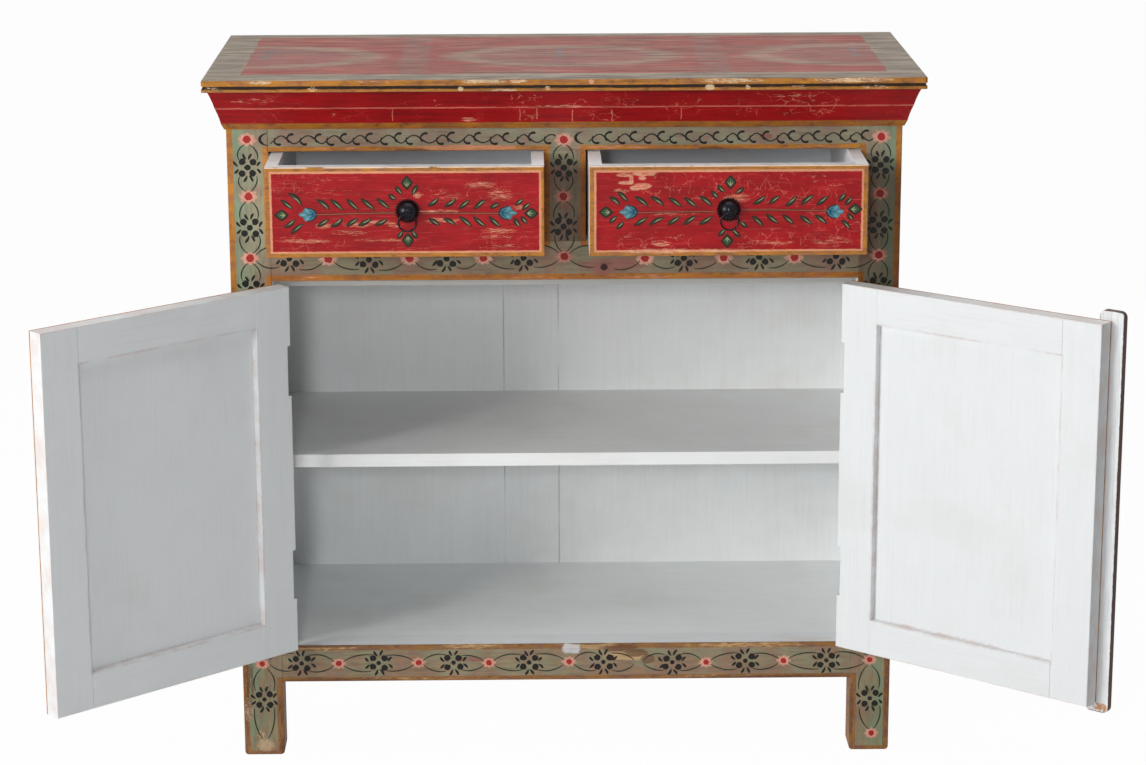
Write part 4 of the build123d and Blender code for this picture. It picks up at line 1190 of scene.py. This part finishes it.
up_dots, up_mid, up_in, up_out = cluster(upright_clusters, 7.2, 7.6)
rail_dots, rail_mid, rail_in, rail_out = cluster(rail_clusters, 8.1, 6.6)
dot_places = np.concatenate([up_dots, rail_dots])
mid_places = np.concatenate([up_mid, rail_mid])
leaf_a, leaf_b = leaf_pairs(np.concatenate([up_in, rail_in]), np.concatenate([up_out, rail_out]))
print(len(flowers), "flowers,", len(mid_places), "clusters,", len(leaf_a), "short leaves")

# %% Petals, hearts, dots and short leaves of the frame
PETAL, HEART, BLACK, VINE = paint(212, 152, 134), paint(160, 40, 36), paint(19, 18, 14), paint(28, 36, 26)
# Petals and hearts on the divider and the right post are darkened by the painted shadow of the drawers.
petal_paint = brush_material("petal pink", PETAL, paint(226, 178, 156), 0.75, 0.3, in_drawer_shadow=True)
petal_tip_paint = brush_material("petal tips", paint(190, 146, 124), SAGE_WARM, 0.5, 0.3, in_drawer_shadow=True)
heart_paint = brush_material("heart red", HEART, PETAL, 0.15, in_drawer_shadow=True)
black_paint = brush_material("brush black", BLACK, SAGE_WARM, 0.42, 0.3)
vine_paint = brush_material("vine green", VINE, SAGE, 0.42, 0.3)
low_row = flowers[:, 1] < 160
heart_size = np.where(low_row, 4.6, 6.1)
middle_size = np.where(mid_places[:, 1] < 160, 3.4, 4.4)
short_leaf = leaf_width(2.0, lean=1.2, blunt=0.55)
petal_size = np.where(low_row, 0.82, 1.0)
on_frame("petal_tips", [blobs(petals(flowers, size=1.1 * petal_size), -0.04)], petal_tip_paint)
on_frame("petals", [blobs(petals(flowers, size=0.86 * petal_size), 0.02)], petal_paint)
on_frame("hearts", [blobs(dots(flowers, heart_size), 0.06)], heart_paint)
on_frame("dots", [blobs(dots(dot_places, 4.8)), blobs(dots(mid_places, middle_size)),
                  ribbons(leaf_paths(leaf_a, leaf_b, 0.08), short_leaf)], black_paint)

# %% [markdown]
# ## Vines
#
# A vine leaves a flower, bows out and ends beside the next cluster. Its bow is a sine raised to a small
# power, which makes it leave the flower steeply and then run nearly straight.

# %% Vines between flowers and clusters
def bows(flower, cluster_, clear, bow, begin=6.5, points=14):
    """Two vines, one on each side of the line from a flower to a cluster: out = bow times the sine of the
    way, raised to 0.62, where the way ends at about two thirds, so the vine ends wide beside the cluster."""
    flower, cluster_ = np.asarray(flower, float), np.asarray(cluster_, float)
    away = cluster_ - flower
    far = np.linalg.norm(away, axis=1, keepdims=True)
    ahead_ = away / far
    across_ = np.stack([-ahead_[:, 1], ahead_[:, 0]], 1)
    part = np.linspace(0, 1, points)[None, :, None]
    reach = begin + part * (far[:, None] - begin - clear)
    paths = []
    for side_ in (-1, 1):
        last = hand.uniform(0.56, 0.74, (len(flower), 1, 1))
        out = side_ * bow * np.sin(math.pi * (0.03 + part * (last - 0.03))) ** 0.62
        out = out * (1 + hand.normal(0, 0.06, (len(flower), 1, 1)))
        paths.append(flower[:, None] + reach * ahead_[:, None] + out * across_[:, None])
    return np.concatenate(paths)


def chain(beads, clear, bow):
    """Vines from each flower to the clusters on both sides of it."""
    beads = np.array(beads, float)
    middles = halfway(beads)
    return np.concatenate([bows(beads[:-1], middles, clear, bow), bows(beads[1:], middles, clear, bow)])


vines = [chain(row, 11.0, 12.9) for row in upright_beads]
vines += [chain(RAIL_MIDDLE, 13.0, 14.6), chain(RAIL_BOTTOM, 10.5, 12.4)]
vines += [bows([(-411, 131), (412, 128), foot_flower], [(-412, 79.5), (413, 75), (413, 75)], 13.0, 13.5)]
vines += [bows([(-412, 16)], [(-412, 79.5)], 13.0, 13.5)]
vines = np.concatenate(vines)
vine_half = 1.1 * leaf_width(1.0, vines.shape[1], 0.3) ** 0.4
on_frame("vines", [ribbons(vines, vine_half, -0.03)], vine_paint)
print(len(vines), "vines")

# %% [markdown]
# ## Running scroll over the drawers
#
# One wavy stem runs above each drawer. Where it falls, a curl springs up from it, and where it climbs, a
# curl hangs from it; all curls open to the right. The stem is a cosine whose phase is stretched so that
# it passes every curl's root, because the painter's spacing was never quite even.

# %% Scroll
UPPER_CURLS = [
    [-356.2, -320, -286.9, -253.7, -216.2, -182.5, -147.5, -113, -76, -42],
    [57.5, 90, 126.2, 162.5, 197.5, 230, 262.5, 296.2, 328.7, 363.7, 392],
]
LOWER_CURLS = [
    [-372.5, -338.7, -303.7, -270, -233.7, -201.2, -161.2, -126.2, -91.2, -56.2, -21.2],
    [41.2, 75, 108.7, 142.5, 181.2, 216, 246, 282.5, 313.7, 345, 377.5],
]
SCROLL_Z = 850.6
CURL_GAP = 17  # mm along the stem from a curl above it to the next one below
UP_CURL = np.array([(-2.6, -3.6), (-4.4, -0.6), (-4.4, 2.8), (-2.6, 5.8), (0.6, 7.2), (3.8, 6.6)])
DOWN_CURL = np.array([(-4.2, 2.6), (-5.4, -0.4), (-5.0, -3.4), (-2.8, -5.8), (0.4, -6.6), (3.6, -5.4)])


def smooth(points, count):
    """More points on a smooth curve through a few: numpy's polyfit of the fourth degree on each axis."""
    t = np.linspace(0, 1, len(points))
    s = np.linspace(0, 1, count)
    return np.stack([np.polyval(np.polyfit(t, points[:, k], 4), s) for k in (0, 1)], 1)


curl_half = 0.8 + 1.35 * np.linspace(0, 1, 16) ** 1.2  # thick towards a blunt, rounded end
curl_half[-3:] *= (0.98, 0.84, 0.45)
scroll, stems = [], []
for uppers, lowers in zip(UPPER_CURLS, LOWER_CURLS):
    for curls, shape in ((uppers, UP_CURL), (lowers, DOWN_CURL)):
        stretch = 1 + hand.normal(0, 0.06, (len(curls), 1, 1))
        roots_at = np.array(curls)[:, None, None] * (1, 0) + (0, SCROLL_Z)
        scroll.append(roots_at + smooth(shape, 16) * stretch)
    roots = sorted([(x - 4.0, 0) for x in uppers] + [(x - 4.6, 1) for x in lowers])
    phase = np.cumsum([math.pi * (0.5 + roots[0][1])] + [math.pi] * (len(roots) - 1))
    x = np.linspace(roots[0][0] - 6, roots[-1][0] + 14, 260)
    angle = np.interp(x, [root for root, _ in roots], phase)
    angle = np.where(x > roots[-1][0], phase[-1] + (x - roots[-1][0]) * math.pi / CURL_GAP, angle)
    angle = np.where(x < roots[0][0], phase[0] + (x - roots[0][0]) * math.pi / CURL_GAP, angle)
    falling = np.maximum(np.sin(angle), 0)  # the stem is thicker where it falls into a curl
    stems.append(ribbons(np.stack([x, SCROLL_Z + 5.2 * np.cos(angle)], 1)[None], 0.92 + 0.45 * falling ** 2))
first_curls = np.array([(-395, SCROLL_Z), (15.5, SCROLL_Z)])[:, None]
open_curl = np.array([(8, 8.6), (3.5, 7.4), (-0.5, 3.6), (-1.6, 0.4), (0.6, -3.6), (4.8, -6.6), (9, -7.0)])
first_half = 0.6 + 1.7 * np.sin(math.pi * np.linspace(0, 1, 16)) ** 2
on_frame("scroll", [ribbons(np.concatenate(scroll), curl_half, 0.03), *stems,
                    ribbons(first_curls + smooth(open_curl, 16), first_half, 0.03)], black_paint)

# %% Two knots that have come through the paint
knots = np.array([(51.2, 678.8), (60.5, 136.0)])
knot_paint = brush_material("knots", paint(46, 18, 14), BROWN, 0.2)
on_frame("knots", [blobs(dots(knots, (5.2, 4.4), error=0.07), -0.03)], knot_paint)

# %% [markdown]
# ## Leaves on the drawers
#
# A branch grows out of each side of the pull: a double stem, five pairs of leaves, a blue bud and a fan
# of four leaves round a pointed one. A leaf is three strokes over each other, near-black, green and a pale
# highlight, and that is what gives the flat drawing its depth. The right half mirrors the left by hand, not
# by rule, so both halves are listed.

# %% Branches of a drawer
LEAVES = {  # x and z of both ends of each leaf
    "left": [
        (-316, 790, -302, 777.6), (-299, 790.4, -285, 777.6), (-278, 791, -264.8, 777.6),
        (-260, 791, -244.6, 777.6), (-240, 791, -225.8, 779), (-316, 757, -303, 765),
        (-299, 757, -285.8, 767), (-279, 757, -266, 766), (-264, 758, -249, 766), (-243, 758, -229, 765),
        (-362, 790, -348.2, 779), (-352, 798, -337.2, 783.8), (-358, 756, -346, 765), (-350, 748, -336, 759),
        (-175, 783, -163, 792), (-154, 782, -141, 791), (-136, 779, -123.2, 789), (-116, 778, -102.4, 789),
        (-96, 779, -85.4, 784), (-174, 765, -162, 757), (-155, 765, -142, 757), (-135, 767, -121, 755),
        (-117, 767, -103, 755), (-97, 767, -84, 755), (-64, 783, -55, 790), (-55, 777, -46, 784.4),
        (-66, 765, -59, 754), (-57, 767, -50, 759), (-216, 807, -209, 797.6), (-189, 808.4, -195, 797),
        (-225, 797, -217, 791), (-215, 741, -209, 749), (-190, 741, -196, 750),
    ],
    "right": [
        (89, 792, 104, 780.4), (109, 792, 124, 781), (132, 791, 147, 780), (152, 791, 166, 779.6),
        (171, 792.4, 185.6, 781), (88, 756.4, 103, 765.6), (108.4, 757, 124, 765), (131, 757, 145, 766.4),
        (151.6, 757, 166, 767), (171, 757.6, 186, 766.4), (56, 792, 67.6, 782), (67, 799, 78, 787.6),
        (56, 759.6, 64.4, 767), (65, 752, 73, 760), (239.6, 783, 254, 792.4), (260, 783, 272.4, 792.4),
        (280.4, 781, 293.6, 792.4), (301, 781.6, 315.6, 793), (320.4, 781.6, 333.6, 792.4),
        (238, 766, 251, 754), (256.4, 769, 271, 758), (277.6, 767.6, 290, 757), (299.6, 766.4, 313.6, 756),
        (318.4, 767, 332.4, 756.4), (348.4, 786.4, 356, 795.6), (357, 781, 365, 790), (360, 769, 366, 761),
        (353, 760, 362.4, 750), (194, 807, 202, 798.4), (226, 803, 217, 797), (186, 799, 194, 791),
        (195, 742, 203, 749.6), (222, 741, 213, 750), (231, 753, 223, 760),
    ],
}
POINTED = {  # middle and direction, as for the buds below
    "left": [
        (-362.6, 771, math.pi), (-202.4, 812, math.pi / 2), (-202, 737.5, -math.pi / 2), (-44.4, 771.6, 0.0),
    ],
    "right": [(51, 773, math.pi), (209.6, 811, math.pi / 2), (206, 734.8, -math.pi / 2), (369, 775, 0.0)],
}
BUDS = {
    "left": [(-329, 771.5, math.pi), (-74.5, 772.2, 0.0)], "right": [(80, 773, math.pi), (343.6, 772, 0.0)],
}
STEMS = {
    "left": [(-318, 771.3, -218, 773.2), (-184, 772.4, -86, 771.6)],
    "right": [(91, 772, 190, 773), (226, 775, 334, 773.2)],
}


def turned(shape, rows):
    """Copies of one outline, each turned to its row's direction and set at its row's place."""
    turn_ = rows[:, 2]
    spin = np.stack([np.stack([np.cos(turn_), -np.sin(turn_)], 1),
                     np.stack([np.sin(turn_), np.cos(turn_)], 1)], 1)
    return rows[:, None, :2] + np.einsum("kij,nj->kni", spin, shape)


def pointed(rows, scale, length=9.6, wide=8.0, power=1.7):
    """A lozenge with bowed-in sides: cosine and sine of the angle, each raised to a power over one."""
    angle = around(24)
    ways = np.stack([np.cos(angle), np.sin(angle)], 1)
    shape = np.sign(ways) * np.abs(ways) ** power * (length, wide)
    return turned(scale * shape, np.array(rows, float))


BUD = np.array([
    (13, 0), (10.4, 2.5), (7.8, 3.6), (6.2, 3.7), (5.4, 6.2), (2.4, 10.2), (-1.4, 9), (-5, 8.2), (-8.8, 6.2),
    (-11, 3), (-12.6, 0), (-11, -3.2), (-8.4, -6.6), (-4.8, -8.4), (-1, -9), (2.8, -9.8), (5.6, -6),
    (6.2, -3.9), (8, -3.6), (10.6, -2.3),
])
BUD_LIGHTS = np.array([
    [(2.4, 0), (6, 0.3), (10, 0)], [(-0.5, 3), (1.4, 5.6), (2, 8)], [(-1, -3), (1.2, -5.4), (2, -7.8)],
])
BUD_DARKS = np.array([
    [(-8, 0), (-3, 0), (1.5, 0)], [(-8, 1), (-4.5, 3.4), (-3, 6)], [(-8, -1), (-4.5, -3.4), (-3, -6)],
])


LEAF_DARK, LEAF_GREEN, LEAF_LIGHT = paint(44, 26, 20), paint(48, 78, 48), paint(148, 152, 116)
TEAL_DARK, TEAL = paint(46, 40, 46), paint(70, 124, 138)
TEAL_LIGHT, DEEP_BLUE = paint(118, 160, 164), paint(20, 80, 108)


def branch_paints(side, door=None):
    """The colours of a branch, all worn through to crimson."""
    rows = dict(dark=(LEAF_DARK, CRIMSON, 0.35), green=(LEAF_GREEN, CRIMSON, 0.25),
                light=(LEAF_LIGHT, CRIMSON, 0.4), teal_dark=(TEAL_DARK, CRIMSON, 0.25),
                teal=(TEAL, CRIMSON, 0.25), teal_light=(TEAL_LIGHT, CRIMSON, 0.2),
                blue=(DEEP_BLUE, CRIMSON, 0.1), stem=(paint(170, 88, 66), CRIMSON, 0.45))
    return {key: brush_material(f"{side} {key}", *row, side=door) for key, row in rows.items()}


# %% All strokes of one painted field
def leaf_strokes(rows, tips, stems_, put_down):
    """Leaves, pointed leaves and stems: dark outlines, a green filling and pale highlights."""
    begin, finish = rows[:, :2], rows[:, 2:]
    along = finish - begin
    begin, finish = begin - 0.13 * along, finish + 0.10 * along
    bend = hand.normal(0.0, 0.05, len(rows))
    along = finish - begin
    toward = np.stack([np.cos(tips[:, 2]), np.sin(tips[:, 2])], 1)
    aside_ = np.stack([-toward[:, 1], toward[:, 0]], 1)
    heel = tips[:, :2] - 5.0 * toward
    put_down("dark_strokes", "dark", [
        ribbons(leaf_paths(begin, finish, bend), leaf_width(3.9, lean=0.9)),
        blobs(pointed(tips, 1.06)),
        ribbons(leaf_paths(stems_[:, :2], stems_[:, 2:], 0.004), 1.6, -0.03),
    ])
    green = leaf_paths(begin + 0.16 * along, finish - 0.08 * along, bend)
    light = leaf_paths(begin + 0.36 * along, finish - 0.14 * along, bend)
    put_down("green_strokes", "green", [
        ribbons(green, leaf_width(1.6, lean=0.85), 0.05),
        blobs(pointed(tips, 0.72), 0.05),
    ])
    put_down("light_strokes", "light", [
        ribbons(light, leaf_width(0.85, lean=0.9), 0.10),
        ribbons(leaf_paths(heel, tips[:, :2] + 2.0 * toward), leaf_width(1.1), 0.10),
        ribbons(leaf_paths(heel, tips[:, :2] + 3.2 * aside_), leaf_width(0.85), 0.10),
        ribbons(leaf_paths(heel, tips[:, :2] - 3.2 * aside_), leaf_width(0.85), 0.10),
    ])
    put_down("stem_lights", "stem", [ribbons(leaf_paths(stems_[:, :2], stems_[:, 2:], 0.004), 0.72, 0.02)])


def bud_strokes(rows, put_down):
    """A dark outline, the teal bud, a pale stroke into each of its three lobes and a deep blue root."""
    put_down("bud_outlines", "teal_dark", [blobs(turned(1.05 * BUD - (0.7, 0), rows))])
    put_down("buds", "teal", [blobs(turned(0.94 * BUD + (0.5, 0), rows), 0.05)])
    lights = np.concatenate([turned(path, rows) for path in BUD_LIGHTS])
    darks = np.concatenate([turned(path, rows) for path in BUD_DARKS])
    put_down("bud_lights", "teal_light", [ribbons(lights, (0.6, 1.7, 0.5), 0.10)])
    put_down("bud_roots", "blue", [ribbons(darks, (1.9, 1.3, 0.3), 0.09)])


def branch(leaves, pointed_rows, bud_rows, stem_rows, lay, paints):
    """Puts all strokes of one field down, as one piece per colour."""
    def put_down(name, colour, shells):
        lay(name, shells, paints[colour])
    leaf_strokes(np.array(leaves, float), np.array(pointed_rows, float), np.array(stem_rows, float), put_down)
    bud_strokes(np.array(bud_rows, float), put_down)


for side in ("left", "right"):
    lay = surface(side + "_drawer", on_front(-PULL[side]), side + "_drawer", "red_paint")
    branch(LEAVES[side], POINTED[side], BUDS[side], STEMS[side], lay, branch_paints(side + " drawer"))

# %% [markdown]
# ## Outside of the doors and the sides
#
# The doors' outsides and the cabinet's sides carry the same strokes as the front. Beads and clusters run
# round each frame, and a branch with a rose in its middle stands on each crimson panel. One quarter of a
# branch is listed and mirrored twice, and an upright branch is the lying one turned by a right angle.

# %% Beads round a frame
def garland(lines, hidden, lay, paints):
    """Flowers, clusters and vines along several lines. Each line is its flowers' places, the cluster's half
    width and height, how far the vines stop from it and how far they bow. Where a pull hides a flower, it
    and its vines are left out."""
    roses, beads_, inner_, outer_, lines_ = [], [], [], [], []
    for places, wide, high, clear, bow in lines:
        places = np.array(places, float)
        middles = halfway(places)
        there = np.linalg.norm(places - hidden, axis=1) > 5
        spots_, mid_, in_, out_ = cluster(middles, wide, high)
        beads_ += [blobs(dots(spots_, 4.8)), blobs(dots(mid_, 4.2))]
        inner_.append(in_.reshape(-1, 2))
        outer_.append(out_.reshape(-1, 2))
        lines_.append(bows(places[:-1][there[:-1]], middles[there[:-1]], clear, bow))
        lines_.append(bows(places[1:][there[1:]], middles[there[1:]], clear, bow))
        roses.append(places[there])
    roses = np.unique(np.concatenate(roses).round(2), axis=0)
    petal_, heart_, black_, vine_ = paints
    start_, end_ = leaf_pairs(np.concatenate(inner_), np.concatenate(outer_))
    lay("petals", [blobs(petals(roses, size=0.95))], petal_)
    lay("hearts", [blobs(dots(roses, 5.4), 0.06)], heart_)
    lay("dots", [*beads_, ribbons(leaf_paths(start_, end_, 0.08), short_leaf)], black_)
    lay("vines", [ribbons(np.concatenate(lines_), vine_half, -0.03)], vine_)


def two_way_branch(centre, upright, pairs, gap):
    """A branch with a long arm each way and a short one across: leaves, pointed leaves, buds and stems. The
    bud sits 27 mm past the last pair of leaves and the pointed leaf 33.6 mm past the bud."""
    at = 30.0 + gap * np.arange(pairs)
    bud_at = at[-1] + 27.0
    quarter = [(s, 6, s + 13, 18) for s in at]
    quarter += [(bud_at + 19, 8, bud_at + 33, 19), (bud_at + 8, 12.5, bud_at + 23, 27), (7, 24, 14, 35)]
    mirrors = np.array([(1, 1), (-1, 1), (-1, -1), (1, -1)])
    ends = np.array(quarter, float).reshape(-1, 2, 2)[None] * mirrors[:, None, None]
    turn_ = math.pi / 2 if upright else 0.0
    spin = turn_by(-turn_)
    tip_at = bud_at + 33.6

    def set_down(rows):
        rows = np.array(rows, float)
        return np.column_stack([rows[:, :2] @ spin + centre, rows[:, 2] + turn_])
    leaves = (ends.reshape(-1, 2) @ spin + centre).reshape(-1, 4)
    tips = set_down([(tip_at, 0, 0), (-tip_at, 0, math.pi), (0, 39, math.pi / 2), (0, -39, -math.pi / 2)])
    buds_ = set_down([(bud_at, 0, 0), (-bud_at, 0, math.pi)])
    stem_ends = np.array([(17, 0), (bud_at - 11, 0), (-17, 0), (11 - bud_at, 0)], float)
    return leaves, tips, buds_, (stem_ends @ spin + centre).reshape(-1, 4)


def panel_branches(wanted, lay, paints, rose_paints):
    """All branches of one depth as one piece per colour, with a rose in the middle of each."""
    parts = [two_way_branch(*row) for row in wanted]
    branch(*[np.concatenate([part[k] for part in parts]) for k in range(4)], lay, paints)
    centres = [row[0] for row in wanted]
    lay("rose_petals", [blobs(petals(centres, 16, 16, count=12))], rose_paints[0])
    lay("rose_hearts", [blobs(dots(centres, 6.5, 20), 0.06)], rose_paints[1])


# %% Doors, drawn as if shut
UPRIGHT_LINE = (7.2, 7.6, 12.5, 12.9)  # width and height of a cluster, gap and bow of the vines
LYING_LINE = (8.1, 6.6, 14.5, 12.6)
STILE_X = (36.0, 357.0)
PANEL_BACK = 7.0  # how far a door panel lies behind its frame
DOOR_FLOWER_Z = [183.5 + 75.5 * k for k in range(7)]
DOOR_FLOWER_X = np.linspace(*STILE_X, 5)
for side, sign in (("left", -1), ("right", 1)):
    rows = (("petals", PETAL, SAGE_WARM), ("hearts", HEART, PETAL), ("dots", BLACK, SAGE_WARM),
            ("vines", VINE, SAGE))
    rose_paints = [brush_material(f"{side} door {name}", *pair, 0.3, side=side) for name, *pair in rows]
    uprights = [([(sign * x, z) for z in DOOR_FLOWER_Z], *UPRIGHT_LINE) for x in STILE_X]
    acrosses = [([(sign * x, z) for x in DOOR_FLOWER_X], *LYING_LINE)
                for z in (DOOR_FLOWER_Z[0], DOOR_FLOWER_Z[-1])]
    lay = surface(side + "_door", on_door(side), side + "_door", "door_paint")
    garland(uprights + acrosses, np.array([sign * 36.0, 410.0]), lay, rose_paints)
    lay = surface(side + "_door_panel", on_door(side, PANEL_BACK), side + "_door", "door_paint")
    panel_branches([((sign * 192.5, 410.0), True, 5, 20.5)], lay, branch_paints(side + " door", side),
                   rose_paints)

# %% Sides, drawn on the outer face of the frame and of its panels
SIDE_POST_Y = (22.5, 361.0)
SIDE_PANEL_X = 430.0
SIDE_FLOWER_Y = np.linspace(*SIDE_POST_Y, 5)
side_strokes = branch_paints("side")
for side, sign in (("left", -1), ("right", 1)):
    uprights = [([(sign * y, z) for z in POST_FLOWER_Z], *UPRIGHT_LINE) for y in SIDE_POST_Y]
    acrosses = [([(sign * y, z) for y in SIDE_FLOWER_Y], *LYING_LINE) for z in (688.25, 130.75)]
    nowhere = np.array([0.0, -1000.0])
    frame_strokes = (petal_paint, heart_paint, black_paint, vine_paint)
    garland(uprights + acrosses, nowhere, surface(side + "_side", on_side(sign), "carcass", "side_paint"),
            frame_strokes)
    lay = surface(side + "_side_panel", on_side(sign, SIDE_PANEL_X), "carcass", "side_paint")
    panel_branches([((sign * 189.5, 409.5), True, 7, 21.7), ((sign * 189.5, 774.5), False, 2, 22.0)], lay,
                   side_strokes, frame_strokes)

# %% [markdown]
# ## Floor and light
#
# A white floor catches a soft shadow, and the camera sees plain white behind the cabinet. One large lamp at
# the left front gives the shapes, and the pale surroundings fill the rest.

# %% Floor, lamps and surroundings
FLOOR_GLOW = 0.977  # the share of the floor that shines white where it is looked at


def seen_straight():
    """1 for a ray from the camera, or one that a glossy or clear surface has passed on."""
    path = put("LightPath").outputs
    return most(path["Is Camera Ray"], most(path["Is Glossy Ray"], path["Is Transmission Ray"]))


floor_mesh = bpy.data.meshes.new("floor")
floor_mesh.from_pydata([(-9, -9, 0), (9, -9, 0), (9, 9, 0), (-9, 9, 0)], [], [(0, 1, 2, 3)])
floor = bpy.data.objects.new("floor", floor_mesh)
bpy.context.scene.collection.objects.link(floor)
floor_paint = bpy.data.materials.new("floor")
open_tree(floor_paint)
matt = put("BsdfDiffuse", {0: (0.86, 0.86, 0.86, 1)}).outputs[0]
glow = put("Emission", {0: (1, 1, 1, 1), 1: 1}).outputs[0]
mixed = put("MixShader", {0: times(seen_straight(), FLOOR_GLOW), 1: matt, 2: glow}).outputs[0]
put("OutputMaterial", {0: mixed})
floor_mesh.materials.append(floor_paint)

world = bpy.data.worlds.new("studio")
bpy.context.scene.world = world
open_tree(world)
dim = put("Background", {0: (0.93, 0.97, 1, 1), 1: 0.07}).outputs[0]
white = put("Background", {0: (1, 1, 1, 1), 1: 1}).outputs[0]
put("OutputWorld", {0: put("MixShader", {0: seen_straight(), 1: dim, 2: white}).outputs[0]})


def lamp(name, at, aim, size, power, colour):
    """A square area lamp at one point, turned towards another."""
    light = bpy.data.lights.new(name, "AREA")
    light.size, light.energy, light.color = size, power, colour
    thing = bpy.data.objects.new(name, light)
    away = np.subtract(at, aim) / np.linalg.norm(np.subtract(at, aim))
    side_way = np.cross((0, 0, 1), away)
    side_way /= np.linalg.norm(side_way)
    stand = np.eye(4)
    stand[:3, 0], stand[:3, 1], stand[:3, 2], stand[:3, 3] = side_way, np.cross(away, side_way), away, at
    thing.matrix_world = Matrix(stand.tolist())
    bpy.context.scene.collection.objects.link(thing)


lamp("key", (-3.95, -3.25, 2.0), (0, 0, 0.5), 2.0, 180, (1.0, 0.985, 0.96))
lamp("front", (-0.35, -4.3, 1.72), (0, 0, 0.5), 0.3, 24, (0.97, 0.985, 1.0))
lamp("front low", (-0.35, -4.3, 1.32), (0, 0, 0.5), 0.4, 17, (0.97, 0.985, 1.0))
lamp("overhead", (0.1, -0.3, 3.3), (0, 0, 0.6), 2.4, 28, (1.0, 0.99, 0.97))
lamp("back", (0.2, 1.1, 2.9), (0, 0, 0.9), 1.6, 16, (1.0, 0.985, 0.96))
